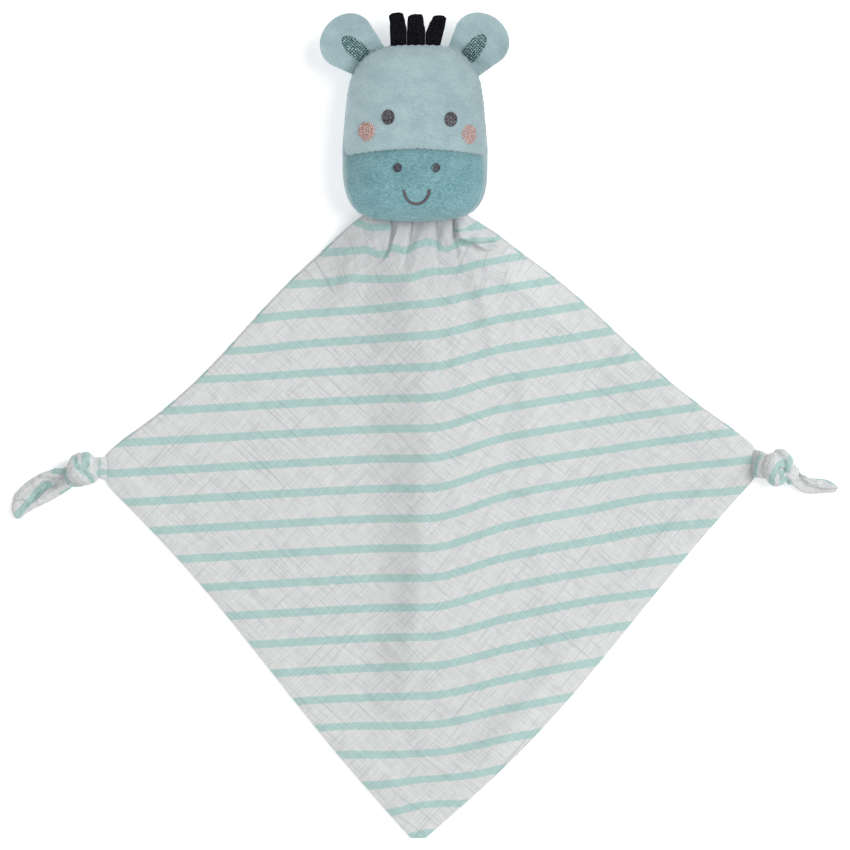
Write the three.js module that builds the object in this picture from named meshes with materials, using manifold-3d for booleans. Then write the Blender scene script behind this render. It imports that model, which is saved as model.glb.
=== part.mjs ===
// Comfort blanket with a small stuffed animal head. It lies on its back, seen from above.
// Millimetres, +X to the right, +Y towards the crown of the head, +Z up from the floor.
// The origin is on the floor under the middle of the blanket.
import * as THREE from "three";
import { mergeVertices } from "three/addons/utils/BufferGeometryUtils.js";
import Module from "manifold-3d";

const wasm = await Module();
wasm.setup();

// Fabrics, and the room that separate pieces leave each other
const MUSLIN = 0.7;
const VELBOA = 1.2;
const SEWN_GAP = 0.3;
const OVERRUN = 20;

// Blanket, as it lies: how far each corner is from the middle
const LEFT_REACH = 186;
const RIGHT_REACH = 205;
const NECK_REACH = 145;
const FOOT_REACH = 225;
const LEFT_CORNER_Y = -3;
const RIGHT_CORNER_Y = 1;
const FOOT_X = 2;
const CORNER_BLUNT = 18;
const FOOT_BLUNT = 9;
const NECK_WIDTH = 61;

// Each edge bows by one half wave and sways by one whole wave, outwards positive
const UPPER_LEFT_EDGE = { bow: -2.5, sway: 3.5 };
const UPPER_RIGHT_EDGE = { bow: 1.5, sway: 3.5 };
const LOWER_LEFT_EDGE = { bow: -2.2, sway: -2 };
const LOWER_RIGHT_EDGE = { bow: 6, sway: -2.5 };

// Rows run from the neck to the two side corners, and on to the foot
const UPPER_ROW_SHARES = [0, 0.025, 0.06, 0.11, 0.18, 0.28, 0.42, 0.6, 0.8, 1];
const LOWER_ROW_SHARES = [0, 0.17, 0.34, 0.51, 0.68, 0.84, 1];
const CLOTH_COLUMNS = 32;
const MIDDLE_CROWD_SHARE = 0.3;
const CHIN_FOLLOW_SHARE = 0.25;

// Drape from the neck seam down to the floor, with the gathers of the neck
const DRAPE_REACH = 72;
const DRAPE_POWER = 2.2;
const GATHERS = 8;
const GATHER_HEIGHT = 3;
const GATHER_GROWTH = 12;
const GATHER_REACH = 95;
const GATHER_SHARE_AT_SEAM = 0.15;
const BACK_GATHER_SHARE = 0.35;

// Long soft folds of the front panel: crest place, widths of the two flanks, height, lower end
const LONG_FOLDS = [
  { crest: 9, leftFlank: 20, rightFlank: 55, height: 4.4, lean: -18, end: -165 },
  { crest: 36, leftFlank: 9, rightFlank: 16, height: 1.5, lean: 30, end: 10 },
  { crest: 53, leftFlank: 10, rightFlank: 26, height: 1.3, lean: 42, end: -130 },
];
const FOLD_FADE = 60;
const FOLD_EDGE_SHARE = 0.22;

// Head: a stuffed pillow, wider at the muzzle than at the brow
const HEAD_HALF_WIDTH = 44;
const HEAD_HALF_HEIGHT = 53;
const HEAD_FRONT = 27;
const HEAD_BACK = 18.5;
const HEAD_FLAT = 0.5;
const CHIN_CORNER_POWER = 4;
const BROW_CORNER_POWER = 3.2;
const HEAD_CROWN_POWER = 2.3;
const BROW_TAPER_SHARE = 0.12;
const SIDE_SEAM_RISE = 6;
const MUZZLE_SEAM_DROP = 10;
const MUZZLE_SEAM_ARCH = 4.4;
const MUZZLE_SWELL_SHARE = 0.1;
const MUZZLE_SWELL_DROP = 32;
const MUZZLE_SWELL_SPREAD = 20;
const NECK_GAP = 0.6;

// Embroidered marks of the face: place from the middle of the head, half sizes.
// A lean lowers the right one of a pair and lifts the left one.
const STITCH_RISE = 0.7;
const SLOPE_STEP = 0.5;
const EYE = { shift: 2.7, spread: 18.7, rise: 8.9, lean: 0.6, halfWidth: 3.85, halfHeight: 4.5 };
const CHEEK = { shift: 1.8, spread: 30.6, rise: 0.2, lean: 0.8, halfWidth: 4.8, halfHeight: 6.2 };
const NOSTRIL = { shift: 1, spread: 11.4, rise: -21.2, lean: 0, halfWidth: 2.7, halfHeight: 2.7 };
const SMILE = { shift: 1, rise: -34.2, halfWidth: 7.6, depth: 9, halfStroke: 0.7 };

// Ears: round with a straight-sided base, cupped across, each with an embroidered leaf.
// The radius about the ear's middle is longer towards the tip, and shorter across its waist.
const EAR_RADIUS = 15.8;
const EAR_TIP_GROWTH = 3.9;
const EAR_WAIST = 1.4;
const EAR_SIDE_FROM = 100;
const EAR_HALF_BASE = 16.8;
const EAR_SIDE_SLOPE = 0.2;
const EAR_SETBACK = 13;
const EAR_REACH = 10.5;
const EAR_CUP = 2.4;
const EAR_GAP = 0.8;
const EAR_FABRIC = 0.9;
const EAR_HINGE = 1.7;
const LEAF_HALF_LENGTH = 11.2;
const LEAF_HALF_WIDTH = 4.6;
const LEAF_REACH = 4.5;
const LEAF_SETBACK = 1.8;
const LEAF_CLEARANCE = 0.4;
const LEFT_EAR = { aim: 139, slide: -14.8 };
const RIGHT_EAR = { aim: 52, slide: 2.2 };

// Mane: three fabric tufts in the top seam
const TUFT_LENGTH = 19;
const TUFT_THICKNESS = 2.5;
const TUFT_GAP = 0.6;
const TUFT_HINGE = 1.4;
const TUFT_HEIGHT = 3.2;
const TUFT_CORNER = 1.6;
const TUFTS = [
  { name: "left", from: -15, to: -5.1, topFrom: -15.6, topTo: -6.7 },
  { name: "middle", from: -4.7, to: 5.8, topFrom: -4.2, topTo: 4.8 },
  { name: "right", from: 6.2, to: 15, topFrom: 10, topTo: 18.6 },
];

// Corner knots: one strip of muslin each, tied in an overhand knot
const STRAND_RADIUS = 2.1;
const STRAND_GAP = 1.2;
const KNOT_HALF_RUN = 4.2;
const KNOT_BEND_SHARE = 1.15;
const KNOT_START = -90;
const KNOT_TWIST = 180;
const KNOT_WRAP = 360;
const KNOT_SLACK = 60;
const KNOT_FLOOR_GAP = 0.2;
const COLLAR_GAP = 0.4;
const COLLAR_LENGTH = 9;
const COLLAR_HALF_WIDTH = 6.6;
const COLLAR_HALF_DEPTH = 0.75;
const TAIL_LENGTH = 44;
const TAIL_HALF_DEPTH = 1.3;
const TAIL_FLAT_SHARE = 0.5;
const TAIL_TIP_POWER = 0.62;
const TIP_WIDTH_SHARE = 0.35;
const LEFT_KNOT = { side: -1, offset: 14.4, drop: 1, tailHalfWidth: 7.2 };
const RIGHT_KNOT = { side: 1, offset: 12, drop: 3, tailHalfWidth: 5.2 };
const LEFT_TAIL_SHARES = [[0.36, -0.1], [0.52, -0.2], [0.7, -0.36], [0.83, -0.55], [0.88, -0.66]];
const RIGHT_TAIL_SHARES = [[0.36, -0.12], [0.5, -0.2], [0.64, -0.26], [0.78, -0.28], [0.86, -0.28]];

// Fineness of the facets
const HEAD_TURNS = 36;
const HEAD_RINGS = 7;
const OUTLINE_CHECKS = 360;
const STUFFING_RINGS = 5;
const EAR_TURNS = 20;
const EAR_RINGS = 3;
const MARK_TURNS = 14;
const MARK_RINGS = 2;
const SMILE_STEPS = 14;
const SMILE_SIDES = 6;
const CORNER_STEPS = 3;
const SEAM_STEPS = 12;
const STRAND_STEPS = 64;
const STRAND_SIDES = 8;
const PASS_STEPS = 4;
const WRAP_STEPS = 6;
const BEND_STEPS = 4;
const GAP_CHECKS = 256;
const STRANDS_APART = 2;

// Sizes that follow from those above
const FLOOR_TO_HEAD_MIDDLE = HEAD_BACK - HEAD_FLAT;
const HEAD_Y = NECK_REACH + HEAD_HALF_HEIGHT;
const STACK = 2 * MUSLIN + SEWN_GAP;
const NECK_LIFT = FLOOR_TO_HEAD_MIDDLE - STACK - GATHER_HEIGHT * GATHER_SHARE_AT_SEAM;
const STRAND_INNER = STRAND_RADIUS + STRAND_GAP / 2;
const STRAND_OUTER = STRAND_INNER + 2 * STRAND_RADIUS + STRAND_GAP;
const STRAND_BEND = (STRAND_OUTER - STRAND_INNER) / 2;
const KNOT_MIDDLE = STRAND_OUTER + STRAND_RADIUS + KNOT_FLOOR_GAP;

const white = new THREE.MeshStandardMaterial({ color: 0xd9dedc, roughness: 0.9 });
const paleBlue = new THREE.MeshStandardMaterial({ color: 0xa9bfc3, roughness: 0.85 });
const teal = new THREE.MeshStandardMaterial({ color: 0x77a1a8, roughness: 0.85 });
const darkTeal = new THREE.MeshStandardMaterial({ color: 0x667f82, roughness: 0.8 });
const black = new THREE.MeshStandardMaterial({ color: 0x16171d, roughness: 0.95 });
const darkGrey = new THREE.MeshStandardMaterial({ color: 0x4f4e55, roughness: 0.7 });
const pink = new THREE.MeshStandardMaterial({ color: 0xd79a90, roughness: 0.8 });
const wadding = new THREE.MeshStandardMaterial({ color: 0xf4f4f2, roughness: 1 });

// Closed solids

function solid(geometry) {
  const bare = geometry.clone();
  bare.deleteAttribute("normal");
  bare.deleteAttribute("uv");
  const welded = mergeVertices(bare);
  const vertProperties = welded.attributes.position.array;
  const triVerts = new Uint32Array(welded.index.array);
  return new wasm.Manifold(new wasm.Mesh({ numProp: 3, vertProperties, triVerts }));
}

function surface(points, faces) {
  const geometry = new THREE.BufferGeometry();
  geometry.setAttribute("position", new THREE.Float32BufferAttribute(points, 3));
  geometry.setIndex(faces);
  return geometry;
}

function facets(body) {
  const { vertProperties, triVerts } = body.getMesh();
  return surface(Array.from(vertProperties), Array.from(triVerts));
}

function piece(name, geometry, material) {
  const mesh = new THREE.Mesh(geometry, material);
  geometry.computeVertexNormals();
  mesh.name = name;
  return mesh;
}

// A sheet of fabric: a flat net of points, lifted to a top and a bottom height.
function fabric(net, top, bottom) {
  const upper = net.points.flatMap((p) => [p.x, p.y, top(p)]);
  const lower = net.points.flatMap((p) => [p.x, p.y, bottom(p)]);
  const count = net.points.length;
  const faces = [];
  for (const [a, b, c] of net.triangles) {
    faces.push(a, b, c, a + count, c + count, b + count);
  }
  net.rim.forEach((a, k) => {
    const b = net.rim[(k + 1) % net.rim.length];
    const open = top(net.points[a]) > bottom(net.points[a]);
    if (open) faces.push(a, a + count, b + count, a, b + count, b);
  });
  return surface([...upper, ...lower], faces);
}

// A round net: rings about a middle point, closer together towards the rim.
function roundNet(rings, turns, radiusAt) {
  const points = [{ x: 0, y: 0, reach: 0 }];
  const triangles = [];
  for (let ring = 1; ring <= rings; ring += 1) {
    const reach = ring === rings ? 1 : Math.sin((Math.PI / 2) * (ring / rings));
    for (let step = 0; step < turns; step += 1) {
      const turn = (2 * Math.PI * step) / turns;
      const radius = reach * radiusAt(turn);
      points.push({ x: radius * Math.cos(turn), y: radius * Math.sin(turn), reach });
    }
  }
  const at = (ring, step) => 1 + (ring - 1) * turns + (step % turns);
  for (let step = 0; step < turns; step += 1) {
    triangles.push([0, at(1, step), at(1, step + 1)]);
    for (let ring = 1; ring < rings; ring += 1) {
      triangles.push([at(ring, step), at(ring + 1, step), at(ring + 1, step + 1)]);
      triangles.push([at(ring, step), at(ring + 1, step + 1), at(ring, step + 1)]);
    }
  }
  const rim = Array.from({ length: turns }, (_, step) => at(rings, step));
  return { points, triangles, rim };
}

function ellipse(halfWidth, halfHeight) {
  return (turn) => 1 / Math.hypot(Math.cos(turn) / halfWidth, Math.sin(turn) / halfHeight);
}

function moved(net, x, y) {
  return { ...net, points: net.points.map((p) => ({ ...p, x: p.x + x, y: p.y + y })) };
}

function smooth(value) {
  const share = Math.min(Math.max(value, 0), 1);
  return share * share * (3 - 2 * share);
}

function blockBetween(bottom, top, halfWidth) {
  const block = new THREE.BoxGeometry(2 * halfWidth, 2 * halfWidth, top - bottom);
  return solid(block.translate(0, 0, (top + bottom) / 2));
}

// A swept strip or stroke with closed ends. The section's width lies level at both ends.
function sweep(route, steps, sides, sectionAt, levelUntil, levelFrom) {
  const frames = route.computeFrenetFrames(steps, false);
  const up = new THREE.Vector3(0, 0, 1);
  const levelRoll = (k) => {
    const flat = up.clone().cross(frames.tangents[k]).normalize();
    return Math.atan2(flat.dot(frames.binormals[k]), flat.dot(frames.normals[k]));
  };
  const first = Math.round(levelUntil * steps);
  const last = Math.round(levelFrom * steps);
  const rawTurn = levelRoll(last) - levelRoll(first);
  const turnBetween = THREE.MathUtils.euclideanModulo(rawTurn + Math.PI, 2 * Math.PI) - Math.PI;
  const rollAt = (k) => {
    if (k <= first || k >= last) return levelRoll(k);
    return levelRoll(first) + (turnBetween * (k - first)) / (last - first);
  };
  const points = [];
  const faces = [];
  for (let k = 0; k <= steps; k += 1) {
    const middle = route.getPointAt(k / steps);
    const roll = rollAt(k);
    const wide = frames.normals[k].clone().multiplyScalar(Math.cos(roll));
    wide.addScaledVector(frames.binormals[k], Math.sin(roll));
    const deep = frames.tangents[k].clone().cross(wide);
    const { halfWidth, halfDepth } = sectionAt(k / steps);
    for (let side = 0; side < sides; side += 1) {
      const turn = (2 * Math.PI * side) / sides;
      const point = middle.clone().addScaledVector(wide, halfWidth * Math.cos(turn));
      point.addScaledVector(deep, halfDepth * Math.sin(turn));
      points.push(...point.toArray());
    }
  }
  for (let k = 0; k < steps; k += 1) {
    for (let side = 0; side < sides; side += 1) {
      const a = k * sides + side;
      const b = k * sides + ((side + 1) % sides);
      faces.push(a, b, b + sides, a, b + sides, a + sides);
    }
  }
  const end = steps * sides;
  for (let side = 1; side < sides - 1; side += 1) {
    faces.push(0, side + 1, side, end, end + side, end + side + 1);
  }
  return surface(points, faces);
}

// Head

function headRadius(inset) {
  return (turn) => {
    const brow = ((1 + Math.sin(turn)) / 2) ** 2;
    const halfWidth = HEAD_HALF_WIDTH * (1 - BROW_TAPER_SHARE * brow) - inset;
    const halfHeight = HEAD_HALF_HEIGHT - inset;
    const power = THREE.MathUtils.lerp(CHIN_CORNER_POWER, BROW_CORNER_POWER, brow);
    const across = Math.abs(Math.cos(turn) / halfWidth) ** power;
    const along = Math.abs(Math.sin(turn) / halfHeight) ** power;
    return (across + along) ** (-1 / power);
  };
}

function crown(reach) {
  return Math.sqrt(Math.max(0, 1 - reach ** HEAD_CROWN_POWER));
}

function muzzleSwell(y) {
  const away = (y + MUZZLE_SWELL_DROP) / MUZZLE_SWELL_SPREAD;
  return 1 + MUZZLE_SWELL_SHARE * Math.exp(-away * away);
}

function headPillow(inset, rings) {
  const net = roundNet(rings, HEAD_TURNS, headRadius(inset));
  const top = (p) => (HEAD_FRONT - inset) * crown(p.reach) * muzzleSwell(p.y);
  const bottom = (p) => -(HEAD_BACK - inset) * crown(p.reach);
  return solid(fabric(net, top, bottom));
}

// Height of the face over the head's middle plane, at a place on it.
function faceHeight(x, y) {
  const reach = Math.hypot(x, y) / headRadius(0)(Math.atan2(y, x));
  return HEAD_FRONT * crown(reach) * muzzleSwell(y);
}

// Height of a point that keeps a distance from the face, measured square to its slope.
function aboveFace(x, y, distance) {
  const here = faceHeight(x, y);
  const across = (faceHeight(x + SLOPE_STEP, y) - here) / SLOPE_STEP;
  const along = (faceHeight(x, y + SLOPE_STEP) - here) / SLOPE_STEP;
  return here + distance * Math.hypot(1, across, along);
}

// The region below the muzzle's seam, which arches up in the middle.
function muzzleRegion(lift) {
  const wide = HEAD_HALF_WIDTH + OVERRUN;
  const outline = new THREE.Shape();
  outline.moveTo(-wide, -HEAD_HALF_HEIGHT - OVERRUN);
  outline.lineTo(wide, -HEAD_HALF_HEIGHT - OVERRUN);
  for (let step = 0; step <= SEAM_STEPS; step += 1) {
    const share = 1 - (2 * step) / SEAM_STEPS;
    const x = HEAD_HALF_WIDTH * share;
    const y = lift - MUZZLE_SEAM_DROP - MUZZLE_SEAM_ARCH * share * share;
    if (step === 0) outline.lineTo(wide, y);
    outline.lineTo(x, y);
    if (step === SEAM_STEPS) outline.lineTo(-wide, y);
  }
  const deep = HEAD_FRONT + OVERRUN;
  return solid(new THREE.ExtrudeGeometry(outline, { depth: deep, bevelEnabled: false }));
}

function headShell() {
  const wide = HEAD_HALF_HEIGHT + OVERRUN;
  const low = -HEAD_BACK - OVERRUN;
  const high = HEAD_FRONT + OVERRUN;
  const shell = headPillow(0, HEAD_RINGS).subtract(headPillow(VELBOA, HEAD_RINGS));
  const back = shell
    .subtract(blockBetween(SIDE_SEAM_RISE - SEWN_GAP / 2, high, wide))
    .subtract(blockBetween(low, -FLOOR_TO_HEAD_MIDDLE, wide));
  const front = shell.subtract(blockBetween(low, SIDE_SEAM_RISE + SEWN_GAP / 2, wide));
  return [
    piece("head_back_panel", facets(back), paleBlue),
    piece("face_panel", facets(front.subtract(muzzleRegion(SEWN_GAP))), paleBlue),
    piece("muzzle_panel", facets(front.intersect(muzzleRegion(0))), teal),
    piece("head_stuffing", facets(headPillow(VELBOA + SEWN_GAP, STUFFING_RINGS)), wadding),
  ];
}

// A padded patch of embroidery that lies on the face.
function faceMark(name, mark, side, material) {
  const net = roundNet(MARK_RINGS, MARK_TURNS, ellipse(mark.halfWidth, mark.halfHeight));
  const placed = moved(net, mark.shift + side * mark.spread, mark.rise - side * mark.lean);
  const bottom = (p) => aboveFace(p.x, p.y, SEWN_GAP);
  const top = (p) => aboveFace(p.x, p.y, SEWN_GAP + STITCH_RISE * (1 - (p.reach * p.reach) / 2));
  return piece(name, fabric(placed, top, bottom), material);
}

function smile() {
  const points = [];
  for (let step = 0; step <= SMILE_STEPS; step += 1) {
    const turn = Math.PI * (1 + step / SMILE_STEPS);
    const x = SMILE.shift + SMILE.halfWidth * Math.cos(turn);
    const y = SMILE.rise + SMILE.depth * Math.sin(turn);
    points.push(new THREE.Vector3(x, y, aboveFace(x, y, SEWN_GAP + SMILE.halfStroke)));
  }
  const route = new THREE.CatmullRomCurve3(points);
  const section = () => ({ halfWidth: SMILE.halfStroke, halfDepth: SMILE.halfStroke });
  return piece("smile_stitch", sweep(route, SMILE_STEPS, SMILE_SIDES, section, 0.5, 0.5), darkGrey);
}

// The head's outline as an upright block, grown by a gap, for cutting what is sewn beside it.
function headBlock(gap) {
  const outline = new THREE.Shape();
  for (let step = 0; step < 2 * HEAD_TURNS; step += 1) {
    const turn = (Math.PI * step) / HEAD_TURNS;
    const radius = headRadius(-gap)(turn);
    const place = [radius * Math.cos(turn), radius * Math.sin(turn)];
    if (step === 0) outline.moveTo(...place);
    else outline.lineTo(...place);
  }
  const block = new THREE.ExtrudeGeometry(outline, { depth: 2 * OVERRUN, bevelEnabled: false });
  return block.translate(0, 0, -OVERRUN);
}

// Ear

// How far the head's outline reaches in a direction.
function headReach(direction) {
  const reaches = Array.from({ length: OUTLINE_CHECKS }, (_, step) => {
    const turn = (2 * Math.PI * step) / OUTLINE_CHECKS;
    return headRadius(0)(turn) * Math.cos(turn - direction);
  });
  return Math.max(...reaches);
}

// The ear's outline about its middle. Turn 0 points to the tip.
function earRadius(turn) {
  const side = Math.abs(turn > Math.PI ? turn - 2 * Math.PI : turn);
  const along = Math.cos(side);
  if (side < THREE.MathUtils.degToRad(EAR_SIDE_FROM)) {
    return EAR_RADIUS + EAR_TIP_GROWTH * along - EAR_WAIST * Math.cos(2 * side);
  }
  return Math.min(EAR_HALF_BASE / (Math.sin(side) - EAR_SIDE_SLOPE * along), -EAR_SETBACK / along);
}

// The group's origin is the line about which the ear folds, just clear of the head.
function ear(name, place) {
  const group = new THREE.Group();
  const aim = THREE.MathUtils.degToRad(place.aim);
  const away = headReach(aim) + EAR_HINGE;
  group.position.set(
    away * Math.cos(aim) - place.slide * Math.sin(aim),
    away * Math.sin(aim) + place.slide * Math.cos(aim),
    0,
  );
  group.rotation.z = aim;
  group.updateMatrix();
  const toEar = group.matrix.clone().invert();
  const beside = (net, gap, top, bottom) => {
    const cut = solid(headBlock(gap).applyMatrix4(toEar));
    return facets(solid(fabric(net, top, bottom)).subtract(cut));
  };
  const cup = (p) => EAR_CUP * (p.y / EAR_RADIUS) ** 2;
  const disc = moved(roundNet(EAR_RINGS, EAR_TURNS, earRadius), EAR_REACH, 0);
  const leafOutline = ellipse(LEAF_HALF_LENGTH, LEAF_HALF_WIDTH);
  const leaf = moved(roundNet(MARK_RINGS, EAR_TURNS, leafOutline), LEAF_REACH, 0);
  const backTop = (p) => cup(p) - SEWN_GAP / 2;
  const backBottom = (p) => backTop(p) - EAR_FABRIC;
  const frontBottom = (p) => cup(p) + SEWN_GAP / 2;
  const frontTop = (p) => frontBottom(p) + EAR_FABRIC;
  const leafBottom = (p) => frontTop(p) + LEAF_CLEARANCE;
  const leafTop = (p) => leafBottom(p) + STITCH_RISE * (1 - (p.reach * p.reach) / 2);
  group.add(piece(name + "_ear_back", beside(disc, EAR_GAP, backTop, backBottom), paleBlue));
  group.add(piece(name + "_ear_front", beside(disc, EAR_GAP, frontTop, frontBottom), paleBlue));
  group.add(piece(name + "_ear_patch", beside(leaf, LEAF_SETBACK, leafTop, leafBottom), darkTeal));
  return group;
}

// Mane

// The tuft flops about a line a little above its sewn end, where its origin is.
function tuft(shape) {
  const outline = new THREE.Shape();
  outline.moveTo(shape.from, 0);
  outline.lineTo(shape.to, 0);
  outline.lineTo(shape.topTo, TUFT_LENGTH - TUFT_CORNER);
  outline.quadraticCurveTo(shape.topTo, TUFT_LENGTH, shape.topTo - TUFT_CORNER, TUFT_LENGTH);
  outline.lineTo(shape.topFrom + TUFT_CORNER, TUFT_LENGTH);
  outline.quadraticCurveTo(shape.topFrom, TUFT_LENGTH, shape.topFrom, TUFT_LENGTH - TUFT_CORNER);
  const options = { depth: TUFT_THICKNESS, bevelEnabled: false, curveSegments: CORNER_STEPS };
  const geometry = new THREE.ExtrudeGeometry(outline, options);
  geometry.translate(0, -TUFT_HINGE, -TUFT_THICKNESS / 2);
  const mesh = piece("mane_tuft_" + shape.name, geometry, black);
  mesh.position.set(0, HEAD_HALF_HEIGHT + TUFT_GAP + TUFT_HINGE, TUFT_HEIGHT);
  return mesh;
}

function head() {
  const group = new THREE.Group();
  group.position.set(0, HEAD_Y, FLOOR_TO_HEAD_MIDDLE);
  group.add(...headShell());
  for (const [name, side] of [["left", -1], ["right", 1]]) {
    group.add(faceMark(name + "_eye", EYE, side, darkGrey));
    group.add(faceMark(name + "_cheek", CHEEK, side, pink));
    group.add(faceMark(name + "_nostril", NOSTRIL, side, darkGrey));
  }
  group.add(smile());
  group.add(ear("left", LEFT_EAR), ear("right", RIGHT_EAR));
  group.add(...TUFTS.map(tuft));
  return group;
}

// Blanket

function edgePlace(from, to, edge, side, share) {
  const along = to.clone().sub(from);
  const outward = new THREE.Vector2(-along.y, along.x).multiplyScalar(side).normalize();
  const offset = edge.bow * Math.sin(Math.PI * share) + edge.sway * Math.sin(2 * Math.PI * share);
  return from.clone().addScaledVector(along, share).addScaledVector(outward, offset);
}

// The two ends of each row, on the left and on the right edge of the blanket.
function rowEnds(side) {
  const right = side > 0;
  const corner = new THREE.Vector2(
    right ? RIGHT_REACH : -LEFT_REACH,
    right ? RIGHT_CORNER_Y : LEFT_CORNER_Y,
  );
  const neck = new THREE.Vector2((side * NECK_WIDTH) / 2, NECK_REACH - NECK_GAP);
  const foot = new THREE.Vector2(FOOT_X + (side * FOOT_BLUNT) / 2, -FOOT_REACH);
  const above = corner.clone().setY(corner.y + CORNER_BLUNT / 2);
  const below = corner.clone().setY(corner.y - CORNER_BLUNT / 2);
  const upper = right ? UPPER_RIGHT_EDGE : UPPER_LEFT_EDGE;
  const lower = right ? LOWER_RIGHT_EDGE : LOWER_LEFT_EDGE;
  return [
    ...UPPER_ROW_SHARES.map((share) => edgePlace(neck, above, upper, side, share)),
    ...LOWER_ROW_SHARES.map((share) => edgePlace(below, foot, lower, side, share)),
  ];
}

// How far the neck edge follows the chin's outline upwards beside the middle.
function chinRise(x) {
  const share = Math.min(Math.abs(x), NECK_WIDTH / 2) / HEAD_HALF_WIDTH;
  return HEAD_HALF_HEIGHT * (1 - (1 - share ** CHIN_CORNER_POWER) ** (1 / CHIN_CORNER_POWER));
}

function clothNet() {
  const left = rowEnds(-1);
  const right = rowEnds(1);
  const rows = left.length - 1;
  const points = [];
  for (let row = 0; row <= rows; row += 1) {
    for (let column = 0; column <= CLOTH_COLUMNS; column += 1) {
      const across = (2 * column) / CLOTH_COLUMNS - 1;
      const crowded = (1 - MIDDLE_CROWD_SHARE) * across + MIDDLE_CROWD_SHARE * across ** 3;
      const place = left[row].clone().lerp(right[row], (1 + crowded) / 2);
      const nearNeck = 1 - smooth(UPPER_ROW_SHARES[row] / CHIN_FOLLOW_SHARE);
      const follow = row < UPPER_ROW_SHARES.length ? nearNeck : 0;
      points.push({ x: place.x, y: place.y + follow * chinRise(place.x), across });
    }
  }
  const at = (row, column) => row * (CLOTH_COLUMNS + 1) + column;
  const triangles = [];
  for (let row = 0; row < rows; row += 1) {
    for (let column = 0; column < CLOTH_COLUMNS; column += 1) {
      triangles.push([at(row, column), at(row + 1, column), at(row + 1, column + 1)]);
      triangles.push([at(row, column), at(row + 1, column + 1), at(row, column + 1)]);
    }
  }
  const rim = [];
  for (let row = 0; row < rows; row += 1) rim.push(at(row, 0));
  for (let column = 0; column < CLOTH_COLUMNS; column += 1) rim.push(at(rows, column));
  for (let row = rows; row > 0; row -= 1) rim.push(at(row, CLOTH_COLUMNS));
  for (let column = CLOTH_COLUMNS; column > 0; column -= 1) rim.push(at(0, column));
  return { points, triangles, rim };
}

function fromNeck(p) {
  const beside = Math.max(0, Math.abs(p.x) - NECK_WIDTH / 2);
  return Math.hypot(beside, Math.max(0, NECK_REACH - NECK_GAP + chinRise(p.x) - p.y));
}

function drape(p) {
  return NECK_LIFT * Math.max(0, 1 - fromNeck(p) / DRAPE_REACH) ** DRAPE_POWER;
}

// Gathers fan out from the neck seam. They grow within a short way and fade further down.
function gather(p) {
  const away = fromNeck(p);
  const grown = GATHER_SHARE_AT_SEAM + (1 - GATHER_SHARE_AT_SEAM) * smooth(away / GATHER_GROWTH);
  const wave = (1 + Math.cos(Math.PI * GATHERS * p.across)) / 2;
  return GATHER_HEIGHT * wave * grown * (1 - smooth(away / GATHER_REACH));
}

// Long folds run down the blanket, steeper on one flank than on the other.
function longFolds(p) {
  const down = (NECK_REACH - p.y) / (NECK_REACH + FOOT_REACH);
  const middle = smooth((1 - Math.abs(p.across)) / FOLD_EDGE_SHARE);
  const begun = smooth(fromNeck(p) / GATHER_REACH);
  const lifts = LONG_FOLDS.map((fold) => {
    const away = p.x - fold.crest - fold.lean * down;
    const flank = away < 0 ? fold.leftFlank : fold.rightFlank;
    const fade = smooth((p.y - fold.end) / FOLD_FADE);
    return fold.height * fade * Math.exp(-((away / flank) ** 2));
  });
  return middle * begun * lifts.reduce((sum, lift) => sum + lift, 0);
}

function blanket() {
  const net = clothNet();
  const backBottom = (p) => drape(p) + BACK_GATHER_SHARE * gather(p);
  const backTop = (p) => backBottom(p) + MUSLIN;
  const apart = (p) => SEWN_GAP + (1 - BACK_GATHER_SHARE) * gather(p) + longFolds(p);
  const frontBottom = (p) => backTop(p) + apart(p);
  const frontTop = (p) => frontBottom(p) + MUSLIN;
  return [
    piece("blanket_back_panel", fabric(net, backTop, backBottom), white),
    piece("blanket_front_panel", fabric(net, frontTop, frontBottom), white),
  ];
}

// Corner knots

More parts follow.
